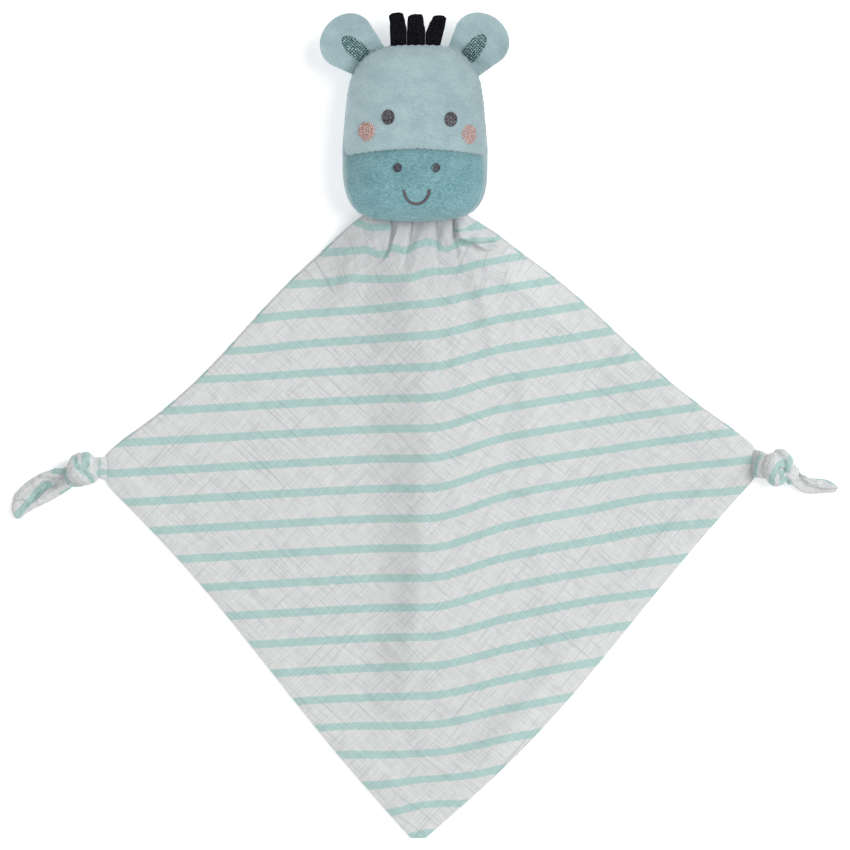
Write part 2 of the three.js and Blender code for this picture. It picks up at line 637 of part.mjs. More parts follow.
// The strip's middle line: in at the collar, along the knot, back round it in one wrap,
// along it again on the other side, and out to the tail. X points out of the blanket, and
// the origin is the line about which the strip folds at the blanket's corner.
function knotRoute(offset, tailShares) {
  const radians = THREE.MathUtils.degToRad;
  const start = radians(KNOT_START);
  const turned = start + radians(KNOT_TWIST);
  const wrapFrom = turned + radians(KNOT_SLACK);
  const wrapTo = turned + radians(KNOT_WRAP - KNOT_SLACK);
  const floor = -STACK;
  const middle = floor + KNOT_MIDDLE;
  const places = [];
  const add = (along, out, turn) => {
    const z = middle + out * Math.sin(turn);
    places.push(new THREE.Vector3(offset + along, out * Math.cos(turn), z));
  };
  const pass = (turn) => {
    for (let step = 0; step <= PASS_STEPS; step += 1) {
      const share = step / PASS_STEPS;
      add(KNOT_HALF_RUN * (2 * share - 1), STRAND_INNER, turn + radians(KNOT_TWIST) * share);
    }
  };
  const bend = (end, fromOut, toOut, fromTurn, toTurn) => {
    for (let step = 1; step < BEND_STEPS; step += 1) {
      const share = step / BEND_STEPS;
      const out = THREE.MathUtils.lerp(fromOut, toOut, (1 - Math.cos(Math.PI * share)) / 2);
      const past = STRAND_BEND * KNOT_BEND_SHARE * Math.sin(Math.PI * share);
      add(end * (KNOT_HALF_RUN + past), out, THREE.MathUtils.lerp(fromTurn, toTurn, share));
    }
  };
  const collarZ = floor + KNOT_FLOOR_GAP + COLLAR_HALF_DEPTH;
  const collarEnd = COLLAR_GAP / 2 + STRAND_RADIUS;
  const innerZ = middle - STRAND_INNER;
  places.push(new THREE.Vector3(COLLAR_GAP / 2, 0, collarZ));
  places.push(new THREE.Vector3(collarEnd, 0, collarZ));
  places.push(new THREE.Vector3((collarEnd + offset - KNOT_HALF_RUN) / 2, 0, (collarZ + innerZ) / 2));
  pass(start);
  bend(1, STRAND_INNER, STRAND_OUTER, turned, wrapFrom);
  for (let step = 0; step <= WRAP_STEPS; step += 1) {
    const share = step / WRAP_STEPS;
    add(KNOT_HALF_RUN * (1 - 2 * share), STRAND_OUTER, THREE.MathUtils.lerp(wrapFrom, wrapTo, share));
  }
  bend(-1, STRAND_OUTER, STRAND_INNER, wrapTo, turned + radians(KNOT_WRAP));
  pass(turned);
  const strandZ = floor + KNOT_FLOOR_GAP + STRAND_RADIUS;
  const tailZ = floor + KNOT_FLOOR_GAP + TAIL_HALF_DEPTH;
  places.push(new THREE.Vector3(offset + 2 * KNOT_HALF_RUN, 0, (strandZ + innerZ) / 2));
  tailShares.forEach(([out, across], step) => {
    const z = step === 0 ? strandZ : tailZ;
    places.push(new THREE.Vector3(offset + out * TAIL_LENGTH, across * TAIL_LENGTH, z));
  });
  return new THREE.CatmullRomCurve3(places, false, "centripetal");
}

// Half width and half depth of the strip: flat at the collar, round in the knot, a leaf at the tail.
function stripSection(length, tailHalfWidth) {
  return (share) => {
    const fromCollar = (share * length) / COLLAR_LENGTH;
    const fromTip = ((1 - share) * length) / TAIL_LENGTH;
    const collar = 1 - smooth(fromCollar);
    const leaf = fromTip < 1 ? Math.sin(Math.PI * fromTip ** TAIL_TIP_POWER) : 0;
    const strand = STRAND_RADIUS * smooth(TIP_WIDTH_SHARE + fromTip);
    const flat = 1 - smooth((fromTip - TAIL_FLAT_SHARE) / (1 - TAIL_FLAT_SHARE));
    const wider = (COLLAR_HALF_WIDTH - STRAND_RADIUS) * collar;
    const thinner = (STRAND_RADIUS - COLLAR_HALF_DEPTH) * collar + (STRAND_RADIUS - TAIL_HALF_DEPTH) * flat;
    return {
      halfWidth: Math.max(strand, leaf * tailHalfWidth) + wider,
      halfDepth: STRAND_RADIUS - thinner,
    };
  };
}

// The least free room between stretches of the strip that pass each other in the knot.
function leastGap(route, length) {
  const points = route.getSpacedPoints(GAP_CHECKS);
  const apart = Math.ceil((STRANDS_APART * 2 * STRAND_RADIUS * GAP_CHECKS) / length);
  let least = Infinity;
  points.forEach((point, k) => {
    for (let other = k + apart; other <= GAP_CHECKS; other += 1) {
      least = Math.min(least, point.distanceTo(points[other]));
    }
  });
  return least - 2 * STRAND_RADIUS;
}

function cornerKnot(name, knot, tailShares) {
  const route = knotRoute(knot.offset, tailShares);
  const length = route.getLength();
  console.log(name + ": least gap in the knot " + leastGap(route, length).toFixed(2) + " mm");
  const section = stripSection(length, knot.tailHalfWidth);
  const levelUntil = COLLAR_LENGTH / length;
  const levelFrom = 1 - TAIL_LENGTH / length;
  const geometry = sweep(route, STRAND_STEPS, STRAND_SIDES, section, levelUntil, levelFrom);
  const mesh = piece(name, geometry, white);
  const corner = knot.side > 0 ? [RIGHT_REACH, RIGHT_CORNER_Y] : [-LEFT_REACH, LEFT_CORNER_Y];
  mesh.position.set(corner[0] + (knot.side * COLLAR_GAP) / 2, corner[1] - knot.drop, STACK);
  mesh.scale.x = knot.side;
  return mesh;
}

const group = new THREE.Group();
group.add(...blanket());
group.add(head());
group.add(cornerKnot("left_corner_knot", LEFT_KNOT, LEFT_TAIL_SHARES));
group.add(cornerKnot("right_corner_knot", RIGHT_KNOT, RIGHT_TAIL_SHARES));

export default group;
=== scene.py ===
# %% [markdown]
# # A comfort blanket with a stuffed animal head
#
# The toy lies flat on its back and the camera looks straight down on it. A double muslin square hangs
# by one corner from a small velboa head, and its two side corners are knotted.
#
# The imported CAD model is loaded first. It says where every piece is and which body it moves with. In
# Blender each soft solid of it is replaced by a piece with the real one's folds, seams and threads.

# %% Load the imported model
import math
import random

import bmesh
import bpy
import numpy as np
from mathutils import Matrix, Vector
from mathutils.kdtree import KDTree


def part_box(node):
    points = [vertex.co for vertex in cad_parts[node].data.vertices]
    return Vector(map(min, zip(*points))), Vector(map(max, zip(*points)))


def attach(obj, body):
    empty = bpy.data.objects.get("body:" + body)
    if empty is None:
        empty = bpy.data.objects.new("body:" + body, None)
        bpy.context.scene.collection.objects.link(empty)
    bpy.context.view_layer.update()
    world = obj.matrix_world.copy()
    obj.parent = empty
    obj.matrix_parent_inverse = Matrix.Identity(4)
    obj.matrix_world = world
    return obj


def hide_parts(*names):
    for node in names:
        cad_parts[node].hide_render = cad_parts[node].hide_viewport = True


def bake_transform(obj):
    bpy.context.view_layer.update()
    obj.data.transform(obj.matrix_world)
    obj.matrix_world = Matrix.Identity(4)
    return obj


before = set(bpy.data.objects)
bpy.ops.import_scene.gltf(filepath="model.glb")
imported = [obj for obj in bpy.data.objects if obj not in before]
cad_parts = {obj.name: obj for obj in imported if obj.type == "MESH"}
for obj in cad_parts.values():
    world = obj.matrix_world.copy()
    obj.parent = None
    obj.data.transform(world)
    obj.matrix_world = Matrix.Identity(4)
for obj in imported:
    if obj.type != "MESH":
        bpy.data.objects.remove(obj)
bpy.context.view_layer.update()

MM = 0.001

# %% [markdown]
# ## Camera
#
# The photograph was taken from straight above with a long lens, so nothing leans outwards. Blender's
# camera gets a long lens too, and its height follows from the width that one pixel covers on the floor.

# %% Camera
PIXEL = 0.6
PICTURE_PIXELS = 850
PICTURE_MIDDLE = Vector((6.0, 22.8, 0.0))
LENS = 1200
SENSOR = 36

camera_data = bpy.data.cameras.new("camera")
camera_data.lens = LENS
camera_data.sensor_width = SENSOR
camera_height = PICTURE_PIXELS * PIXEL * LENS / SENSOR
camera_data.clip_end = 3 * camera_height * MM
camera = bpy.data.objects.new("camera", camera_data)
bpy.context.scene.collection.objects.link(camera)
camera.location = (PICTURE_MIDDLE + Vector((0, 0, camera_height))) * MM
bpy.context.scene.camera = camera
print("camera height in metres:", round(camera.location.z, 2))

# %% [markdown]
# ## Light and floor
#
# Soft studio light comes mostly from the right, so every fold is a little darker on its left flank. A
# large area light does that. It stands far off, because a near one would light the right side of the toy
# much more than the left. An even light from the world fills the shadows. The floor is plain and white
# and glows a little, like a light table, so the toy's shadow on it stays faint.

# %% Light and floor
scene = bpy.context.scene
scene.view_settings.view_transform = "Standard"
WORLD_COLOUR, WORLD_LIGHT = (1, 0.98, 1, 1), 0.5
world = bpy.data.worlds.new("studio")
world.use_nodes = True
world.node_tree.nodes["Background"].inputs["Color"].default_value = WORLD_COLOUR
world.node_tree.nodes["Background"].inputs["Strength"].default_value = WORLD_LIGHT
scene.world = world


def area_light(name, place, size, watts):
    light = bpy.data.lights.new(name, "AREA")
    light.shape = "DISK"
    light.size = size
    light.energy = watts
    obj = bpy.data.objects.new(name, light)
    obj.location = place
    obj.rotation_euler = (-Vector(place)).to_track_quat("-Z", "Y").to_euler()
    scene.collection.objects.link(obj)


area_light("key_light", (3.0, 1.25, 3.65), size=4.0, watts=175)
area_light("fill_light", (-1.3, -1.9, 2.6), size=2.4, watts=26)

FLOOR_HALF, FLOOR_SINK = 4.0, 0.2 * MM
floor_mesh = bpy.data.meshes.new("floor")
floor_mesh.from_pydata(
    [(x * FLOOR_HALF, y * FLOOR_HALF, 0) for x, y in ((-1, -1), (1, -1), (1, 1), (-1, 1))],
    [], [(0, 1, 2, 3)],
)
floor = bpy.data.objects.new("floor", floor_mesh)
floor.location.z = -FLOOR_SINK
scene.collection.objects.link(floor)

# %% [markdown]
# ## Helpers for meshes
#
# Nearly every piece here is a grid of points that a formula lifts into shape. Working on whole arrays
# of points with numpy keeps that quick. Lengths are in millimetres until a mesh is made from them.

# %% Mesh helpers
def ease(value):
    """0 below 0, 1 above 1, and a smooth S between."""
    share = np.clip(value, 0, 1)
    return share * share * (3 - 2 * share)


def hump(value):
    """A soft bump: 1 at 0, and nearly nothing past 2."""
    return np.exp(-np.square(value))


def rounded(value):
    """0 at 0 and 1 from 1 on, with a quarter circle between."""
    return np.sqrt(1 - (1 - np.clip(value, 0, 1)) ** 2)


def value_noise(x, y, cell, seed):
    """Smooth noise from -1 to 1: one random value at each corner of a square cell."""
    values = np.random.default_rng(seed).uniform(-1, 1, (64, 64))
    column, row = np.floor(x / cell).astype(int), np.floor(y / cell).astype(int)
    fx, fy = ease(x / cell - column), ease(y / cell - row)
    low = values[row % 64, column % 64] * (1 - fx) + values[row % 64, (column + 1) % 64] * fx
    high = values[(row + 1) % 64, column % 64] * (1 - fx) + values[(row + 1) % 64, (column + 1) % 64] * fx
    return low * (1 - fy) + high * fy


def mesh_piece(name, points, faces):
    """A smooth-shaded object from points in millimetres."""
    mesh = bpy.data.meshes.new(name)
    places = (np.asarray(points, float) * MM).tolist()
    mesh.from_pydata(places, [], [tuple(map(int, face)) for face in faces])
    mesh.validate()
    mesh.shade_smooth()
    obj = bpy.data.objects.new(name, mesh)
    scene.collection.objects.link(obj)
    return obj


def set_place(obj, places):
    """Keeps a place in millimetres on every point, for the material's pattern to follow."""
    attribute = obj.data.attributes.new("place", "FLOAT_VECTOR", "POINT")
    attribute.data.foreach_set("vector", np.asarray(places, np.float32).ravel())


def set_number(obj, name, values):
    """Keeps one number on every point."""
    attribute = obj.data.attributes.new(name, "FLOAT", "POINT")
    attribute.data.foreach_set("value", np.asarray(values, np.float32).ravel())


def grid_faces(rows, columns, wrap=False):
    """Quads of a grid of points that are listed row by row."""
    faces = []
    for row in range(rows - 1):
        for column in range(columns if wrap else columns - 1):
            after = (column + 1) % columns
            a, b = row * columns + column, row * columns + after
            faces.append((a, b, b + columns, a + columns))
    return faces


def closed_sheet(rows, columns):
    """Faces of a sheet with a top and a bottom grid, joined round the rim."""
    count = rows * columns
    top = grid_faces(rows, columns)
    bottom = [tuple(count + index for index in reversed(face)) for face in top]
    rim = [row * columns for row in range(rows - 1, 0, -1)]
    rim += list(range(columns - 1))
    rim += [row * columns + columns - 1 for row in range(rows - 1)]
    rim += [(rows - 1) * columns + column for column in range(columns - 1, 0, -1)]
    sides = [(a, count + a, count + b, b) for a, b in zip(rim, rim[1:] + rim[:1])]
    return top + bottom + sides


def both_grids(x, y, top, bottom):
    """The points of a sheet's top grid, then those of its bottom grid."""
    return np.concatenate([np.stack([x, y, z], 2).reshape(-1, 3) for z in (top, bottom)])


def distance_to(points, line):
    """How far each point is from the nearest of a line's points, all flat."""
    tree = KDTree(len(line))
    for index, (x, y) in enumerate(line):
        tree.insert((x, y, 0), index)
    tree.balance()
    return np.array([tree.find((x, y, 0))[2] for x, y in points])


def tube(route, radius, sides=6):
    """Points and faces of a thin round thread along a route, with closed tapered ends."""
    route = np.asarray(route, float)
    steps = len(route)
    tangents = np.gradient(route, axis=0)
    tangents /= np.linalg.norm(tangents, axis=1)[:, None]
    helper = np.array([0, 0, 1.0]) if abs(tangents[0][2]) < 0.9 else np.array([1.0, 0, 0])
    across = np.cross(tangents, helper)
    across /= np.linalg.norm(across, axis=1)[:, None]
    above = np.cross(across, tangents)
    turns = np.arange(sides) * 2 * math.pi / sides
    ring = np.cos(turns)[None, :, None] * across[:, None] + np.sin(turns)[None, :, None] * above[:, None]
    radii = np.broadcast_to(radius, steps).astype(float).copy()
    radii[[0, -1]] *= 0.45
    points = (route[:, None] + ring * radii[:, None, None]).reshape(-1, 3)
    faces = [tuple(reversed(face)) for face in grid_faces(steps, sides, wrap=True)]
    faces.append(tuple(range(sides)))
    faces.append(tuple((steps - 1) * sides + side for side in reversed(range(sides))))
    return points, faces


def joined(parts):
    """One list of points and one of faces from several parts."""
    points, faces, count = [], [], 0
    for part_points, part_faces in parts:
        points.append(part_points)
        faces.extend(tuple(index + count for index in face) for face in part_faces)
        count += len(part_points)
    return np.concatenate(points), faces


print("helpers are ready")

# %% [markdown]
# ## Helpers for materials
#
# A shader graph is a chain of small nodes. One helper makes a node, sets its values and links what
# is fed into it. Effects that several fabrics share become node groups.

# %% Material helpers
def node(tree, kind, inputs=None, **settings):
    made = tree.nodes.new(kind)
    for key, value in settings.items():
        setattr(made, key, value)
    for key, value in (inputs or {}).items():
        if isinstance(value, bpy.types.NodeSocket):
            tree.links.new(value, made.inputs[key])
        else:
            made.inputs[key].default_value = value
    return made


def sum_up(tree, operation, *values):
    """A Math node's result. The values are sockets or numbers."""
    return node(tree, "ShaderNodeMath", dict(enumerate(values)), operation=operation).outputs[0]


def swing(tree, value, factor):
    """How far a value is from a half, times a factor."""
    return sum_up(tree, "MULTIPLY", sum_up(tree, "SUBTRACT", value, 0.5), factor)


def remap(tree, value, low, high, new_low=0.0, new_high=1.0):
    """The value's stretch from low to high, turned smoothly into another stretch."""
    inputs = {"Value": value, "From Min": low, "From Max": high, "To Min": new_low, "To Max": new_high}
    return node(tree, "ShaderNodeMapRange", inputs, interpolation_type="SMOOTHSTEP").outputs["Result"]


def mix_colour(tree, factor, first, second):
    mixer = node(tree, "ShaderNodeMix", data_type="RGBA")
    for socket, value in ((mixer.inputs[0], factor), (mixer.inputs[6], first), (mixer.inputs[7], second)):
        if isinstance(value, bpy.types.NodeSocket):
            tree.links.new(value, socket)
        else:
            socket.default_value = value
    return mixer.outputs[2]


def noise_at(tree, place, scale, detail=2.0):
    """Noise of a place in millimetres, from 0 to 1. The scale is one number or one for each axis."""
    steps = (scale, scale, scale) if isinstance(scale, (int, float)) else scale
    placed = node(tree, "ShaderNodeMapping", {"Vector": place, "Scale": steps}).outputs["Vector"]
    inputs = {"Vector": placed, "Scale": 1.0, "Detail": detail}
    return node(tree, "ShaderNodeTexNoise", inputs).outputs["Fac"]


def kept_number(tree, name):
    """The number of that name which the points keep."""
    return node(tree, "ShaderNodeAttribute", attribute_name=name).outputs["Fac"]


def shader_group(name, inputs, outputs):
    """An empty node group with named sockets, and its input and output nodes."""
    tree = bpy.data.node_groups.new(name, "ShaderNodeTree")
    for label, kind, default in inputs:
        socket = tree.interface.new_socket(name=label, in_out="INPUT", socket_type=kind)
        if default is not None:
            socket.default_value = default
    for label, kind in outputs:
        tree.interface.new_socket(name=label, in_out="OUTPUT", socket_type=kind)
    return tree, tree.nodes.new("NodeGroupInput"), tree.nodes.new("NodeGroupOutput")


def placed_group(tree, group, inputs):
    return node(tree, "ShaderNodeGroup", inputs, node_tree=group)


def fabric_material(name, roughness, sheen, sheen_roughness=0.5, specular=0.25):
    """A material with a Principled shader for cloth, and the place that its points keep."""
    material = bpy.data.materials.new(name)
    material.use_nodes = True
    tree = material.node_tree
    shader = tree.nodes["Principled BSDF"]
    shader.inputs["Roughness"].default_value = roughness
    shader.inputs["Sheen Weight"].default_value = sheen
    shader.inputs["Sheen Roughness"].default_value = sheen_roughness
    shader.inputs["Specular IOR Level"].default_value = specular
    place = node(tree, "ShaderNodeAttribute", attribute_name="place").outputs["Vector"]
    return material, tree, shader, place


def wire_surface(tree, shader, colour, height, depth):
    """Feeds a colour and a height, whose full range is a depth in millimetres, into the shader."""
    tree.links.new(colour, shader.inputs["Base Color"])
    bump = node(tree, "ShaderNodeBump", {"Height": height, "Distance": depth * MM, "Strength": 1.0})
    tree.links.new(bump.outputs["Normal"], shader.inputs["Normal"])


print("material helpers are ready")

# %% [markdown]
# ## Muslin: threads and printed stripes
#
# Muslin is a loose plain weave. Its threads run along the square's sides, so on a square that lies as
# a diamond they cross at 45 degrees. Thick and thin threads show as short faint lines. Noise that is
# stretched far along one direction gives such lines, once for each direction.
#
# The stripes are printed on the cloth, so they follow the cloth's own place and not the floor's.

# %% Muslin thread group
FINE_LINES, BOLD_LINES = 0.55, 0.8
WEAVE_RELIEF, RIDGE_RELIEF = 0.35, 1.3


def thread_group():
    tree, given, result = shader_group(
        "muslin threads",
        [("Place", "NodeSocketVector", None), ("Crinkle", "NodeSocketFloat", 0.5)],
        [("Lines", "NodeSocketFloat"), ("Height", "NodeSocketFloat"), ("Cloud", "NodeSocketFloat")],
    )
    turned = node(
        tree, "ShaderNodeVectorRotate", {"Vector": given.outputs["Place"], "Angle": math.radians(45)},
        rotation_type="Z_AXIS",
    ).outputs["Vector"]
    fine, bold, ribs, ridges = [], [], [], []
    for along, across in ((0, 1), (1, 0)):
        def stretched(long, short, shift):
            scale = [1.0, 1.0, 1.0]
            scale[along], scale[across] = long, short
            moved = node(tree, "ShaderNodeVectorMath", {0: turned, 1: (shift, shift, shift)})
            return noise_at(tree, moved.outputs["Vector"], tuple(scale))

        slubs = stretched(0.06, 1.2, 0)
        fine.append(remap(tree, slubs, 0.5, 0.68))
        ribs.append(slubs)
        bold.append(remap(tree, stretched(0.014, 0.85, 300), 0.61, 0.71))
        ridges.append(stretched(0.02, 0.16, 700))
    fine_lines = sum_up(tree, "MULTIPLY", sum_up(tree, "MAXIMUM", *fine), FINE_LINES)
    bold_lines = sum_up(tree, "MULTIPLY", sum_up(tree, "MAXIMUM", *bold), BOLD_LINES)
    lines = sum_up(tree, "MAXIMUM", fine_lines, bold_lines)
    weave = sum_up(tree, "MULTIPLY", sum_up(tree, "ADD", *ribs), WEAVE_RELIEF)
    ridge = sum_up(tree, "MULTIPLY", sum_up(tree, "ADD", *ridges), RIDGE_RELIEF)
    crinkle = noise_at(tree, given.outputs["Place"], 0.3, detail=3.0)
    crinkled = sum_up(tree, "ADD", sum_up(tree, "MULTIPLY", crinkle, given.outputs["Crinkle"]), ridge)
    tree.links.new(lines, result.inputs["Lines"])
    tree.links.new(sum_up(tree, "ADD", weave, crinkled), result.inputs["Height"])
    tree.links.new(noise_at(tree, given.outputs["Place"], 0.22, detail=3.0), result.inputs["Cloud"])
    return tree


muslin_threads = thread_group()
print("made", muslin_threads.name)

# %% Printed stripe group
STRIPE_PITCH = 17.9
STRIPE_HALF = 2.4


def stripe_group():
    tree, given, result = shader_group(
        "printed stripes",
        [("Place", "NodeSocketVector", None), ("Across", "NodeSocketFloat", 0.0),
         ("Pitch", "NodeSocketFloat", STRIPE_PITCH), ("Half width", "NodeSocketFloat", STRIPE_HALF)],
        [("Mask", "NodeSocketFloat")],
    )
    turns = sum_up(tree, "DIVIDE", given.outputs["Across"], given.outputs["Pitch"])
    away = sum_up(tree, "ABSOLUTE", sum_up(tree, "SUBTRACT", turns, sum_up(tree, "ROUND", turns)))
    away = sum_up(tree, "MULTIPLY", away, given.outputs["Pitch"])
    frayed = remap(tree, noise_at(tree, given.outputs["Place"], 0.8, detail=2.0), 0.2, 0.8, -0.35, 0.35)
    past_edge = sum_up(tree, "SUBTRACT", sum_up(tree, "ADD", away, frayed), given.outputs["Half width"])
    tree.links.new(remap(tree, past_edge, -0.3, 0.35, 1.0, 0.0), result.inputs["Mask"])
    return tree


printed_stripes = stripe_group()
print("made", printed_stripes.name)

# %% [markdown]
# Both layers are see-through a little. Where the seam allowance lies under the front layer, along the
# rim, the cloth looks whiter. A faint darker line beside it is painted shade, where the cloth steps
# down past the seam allowance. Near the neck, painted shade greys the cloth where it is gathered and
# the chin hangs over it, most of all right below the chin. The points keep how far they are from the
# rim and how much painted shade lies on them near the neck, and the material reads both.

# %% Muslin material
MUSLIN_WHITE = (0.652, 0.674, 0.661, 1)
MUSLIN_SHADE = (0.465, 0.478, 0.487, 1)
MINT = (0.416, 0.575, 0.543, 1)
MINT_SHADE = (0.305, 0.453, 0.433, 1)
# the last two are painted shade: a line beside the hem, and the shade near the neck
CLOUD_GREY, INSIDE_GREY, HEM_EDGE_SHADE_GREY, NECK_SHADE_GREY = 0.12, 0.06, 0.09, 0.3
MUSLIN_RELIEF = 0.5
HEM_WIDTH = 19.0


def muslin_material(name, crinkle=0.35):
    material, tree, shader, place = fabric_material(name, roughness=0.92, sheen=0.1)
    threads = placed_group(tree, muslin_threads, {"Place": place, "Crinkle": crinkle})
    stripe_inputs = {"Place": place, "Across": kept_number(tree, "stripe")}
    stripes = placed_group(tree, printed_stripes, stripe_inputs)
    rim = kept_number(tree, "rim")
    inside = remap(tree, rim, HEM_WIDTH - 2, HEM_WIDTH + 1)
    # painted shade in a faint line beside the seam allowance, where the cloth steps down
    line = sum_up(tree, "MULTIPLY", inside, remap(tree, rim, HEM_WIDTH + 1, HEM_WIDTH + 8, 1.0, 0.0))
    # painted shade near the neck, under the gathers and the chin
    neck_shade = kept_number(tree, "neck_shade")
    cloud = remap(tree, threads.outputs["Cloud"], 0.35, 0.65, 0.0, CLOUD_GREY)
    grey = sum_up(tree, "ADD", threads.outputs["Lines"], cloud)
    for mask, share in ((inside, INSIDE_GREY), (line, HEM_EDGE_SHADE_GREY), (neck_shade, NECK_SHADE_GREY)):
        grey = sum_up(tree, "ADD", grey, sum_up(tree, "MULTIPLY", mask, share))
    white = mix_colour(tree, grey, MUSLIN_WHITE, MUSLIN_SHADE)
    mint = mix_colour(tree, grey, MINT, MINT_SHADE)
    colour = mix_colour(tree, stripes.outputs["Mask"], white, mint)
    wire_surface(tree, shader, colour, threads.outputs["Height"], MUSLIN_RELIEF)
    return material


muslin = muslin_material("striped muslin")
print("made", muslin.name)

# %% [markdown]
# ## Velboa: short pile
#
# Velboa is a knitted fabric with a short dense pile. The pile leans in patches, so its tone changes
# softly, and fine streaks run where the pile parts. Its edge catches the light, which sheen does.
#
# The colour is also painted a little darker on slopes that face the key light, to the right, and lighter
# on slopes that face away from it. This painted light evens out the light and shade across the head.
# The surface's own normal tells which is which.

# %% Velboa group and materials
PATCH_TONE, TUFT_TONE = 0.55, 0.6
SWIRL_REACH = 7.0
PILE_RELIEF = 0.35


def pile_group():
    tree, given, result = shader_group(
        "short pile",
        [("Place", "NodeSocketVector", None), ("Streaks", "NodeSocketFloat", 0.5)],
        [("Tone", "NodeSocketFloat"), ("Height", "NodeSocketFloat")],
    )
    place = given.outputs["Place"]
    strength = given.outputs["Streaks"]
    patches = noise_at(tree, place, (0.07, 0.09, 0.08))
    leaning = sum_up(tree, "ADD", swing(tree, patches, PATCH_TONE), 0.5)
    swirl = node(tree, "ShaderNodeTexNoise", {"Vector": place, "Scale": 0.12, "Detail": 1.0})
    inputs = {0: swirl.outputs["Color"], "Scale": SWIRL_REACH}
    swirl = node(tree, "ShaderNodeVectorMath", inputs, operation="SCALE").outputs["Vector"]
    swirled = node(tree, "ShaderNodeVectorMath", {0: place, 1: swirl}).outputs["Vector"]
    parted = noise_at(tree, swirled, (0.4, 1.5, 1.0), detail=3.0)
    tufts = noise_at(tree, place, 1.7)
    tone = sum_up(tree, "ADD", leaning, swing(tree, parted, strength))
    tone = sum_up(tree, "ADD", tone, swing(tree, tufts, TUFT_TONE))
    height = sum_up(tree, "ADD", sum_up(tree, "MULTIPLY", parted, strength), tufts)
    tree.links.new(tone, result.inputs["Tone"])
    tree.links.new(height, result.inputs["Height"])
    return tree


short_pile = pile_group()


def velboa_material(name, dark, light, streaks, toward_key_light):
    material, tree, shader, place = fabric_material(name, roughness=0.9, sheen=0.5, sheen_roughness=0.4)
    pile = placed_group(tree, short_pile, {"Place": place, "Streaks": streaks})
    tone = remap(tree, pile.outputs["Tone"], 0.25, 0.75)
    # painted light: darker on slopes that face the key light, lighter on slopes that face away
    normal = node(tree, "ShaderNodeTexCoord").outputs["Normal"]
    facing = node(tree, "ShaderNodeVectorMath", {0: normal, 1: toward_key_light}, operation="DOT_PRODUCT")
    lightness = sum_up(tree, "SUBTRACT", 1.0, facing.outputs["Value"])
    inputs = {0: mix_colour(tree, tone, dark, light), "Scale": lightness}
    colour = node(tree, "ShaderNodeVectorMath", inputs, operation="SCALE").outputs["Vector"]
    wire_surface(tree, shader, colour, pile.outputs["Height"], PILE_RELIEF)
    return material


pale_velboa = velboa_material(
    "pale velboa", (0.28, 0.40, 0.43, 1), (0.41, 0.545, 0.565, 1), streaks=0.55, toward_key_light=(0.26, 0.05, 0))
teal_velboa = velboa_material(
    "teal velboa", (0.127, 0.272, 0.303, 1), (0.216, 0.405, 0.43, 1), streaks=1.6, toward_key_light=(0.13, 0.28, 0))
print("made", pale_velboa.name, "and", teal_velboa.name)

# %% [markdown]
# ## Embroidery thread, black fleece and filling
#
# Embroidery thread is twisted and shiny, so its tone flickers from stitch to stitch. The mane's fleece
# is nearly black and takes all light. The filling is white fibre, hidden in the head.

# %% Thread, fleece and filling materials
THREAD_RELIEF = 0.05
FLOOR_WHITE, FLOOR_GLOW = (0.93, 0.93, 0.93, 1), 0.3


def plain_fabric(name, dark, light, scale, depth, roughness=0.9, sheen=0.2, specular=0.25):
    material, tree, shader, place = fabric_material(name, roughness, sheen, specular=specular)
    tone = noise_at(tree, place, scale, detail=3.0)
    colour = mix_colour(tree, remap(tree, tone, 0.35, 0.65), dark, light)
    wire_surface(tree, shader, colour, tone, depth)
    return material


def thread_material(name, dark, light, scale, roughness=0.55):
    return plain_fabric(name, (*dark, 1), (*light, 1), scale, THREAD_RELIEF, roughness)


grey_thread = thread_material("grey thread", (0.014, 0.014, 0.02), (0.20, 0.188, 0.20), 1.1)
dark_thread = thread_material("dark grey thread", (0.012, 0.012, 0.018), (0.15, 0.14, 0.155), 1.1)
smile_thread = thread_material("smile thread", (0.035, 0.03, 0.045), (0.12, 0.10, 0.13), 1.2)
bar_thread = thread_material("smile bar thread", (0.16, 0.13, 0.15), (0.34, 0.27, 0.28), 1.2)
pink_thread = thread_material("pink thread", (0.5, 0.17, 0.12), (0.67, 0.3, 0.24), 0.9)
pale_pink_thread = thread_material("pale pink thread", (0.62, 0.55, 0.53), (0.8, 0.73, 0.71), 0.9)
leaf_thread = thread_material("leaf thread", (0.12, 0.25, 0.265), (0.52, 0.68, 0.66), 0.8, 0.6)
leaf_ground = plain_fabric("leaf ground", (0.02, 0.06, 0.07, 1), (0.05, 0.12, 0.13, 1), 1.0, 0.1)
black_fleece = plain_fabric(
    "black fleece", (0.001, 0.001, 0.002, 1), (0.007, 0.007, 0.0105, 1), 0.9, 0.3, sheen=0.0, specular=0.1)
filling = plain_fabric("fibre filling", (0.7, 0.7, 0.69, 1), (0.85, 0.85, 0.84, 1), 0.3, 0.5)

floor_material = bpy.data.materials.new("white floor")
floor_material.use_nodes = True
floor_shader = floor_material.node_tree.nodes["Principled BSDF"]
floor_shader.inputs["Base Color"].default_value = FLOOR_WHITE
floor_shader.inputs["Roughness"].default_value = 1.0
floor_shader.inputs["Specular IOR Level"].default_value = 0.0
floor_shader.inputs["Emission Color"].default_value = (1, 1, 1, 1)
floor_shader.inputs["Emission Strength"].default_value = FLOOR_GLOW
floor_mesh.materials.append(floor_material)
print("materials:", len(bpy.data.materials))

# %% [markdown]
# ## Places from the frame
#
# The head's middle, the blanket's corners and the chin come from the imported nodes, so the pieces
# made here sit where the CAD has them.

# %% Places
def box_mm(name):
    low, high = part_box(name)
    return np.array(low) / MM, np.array(high) / MM


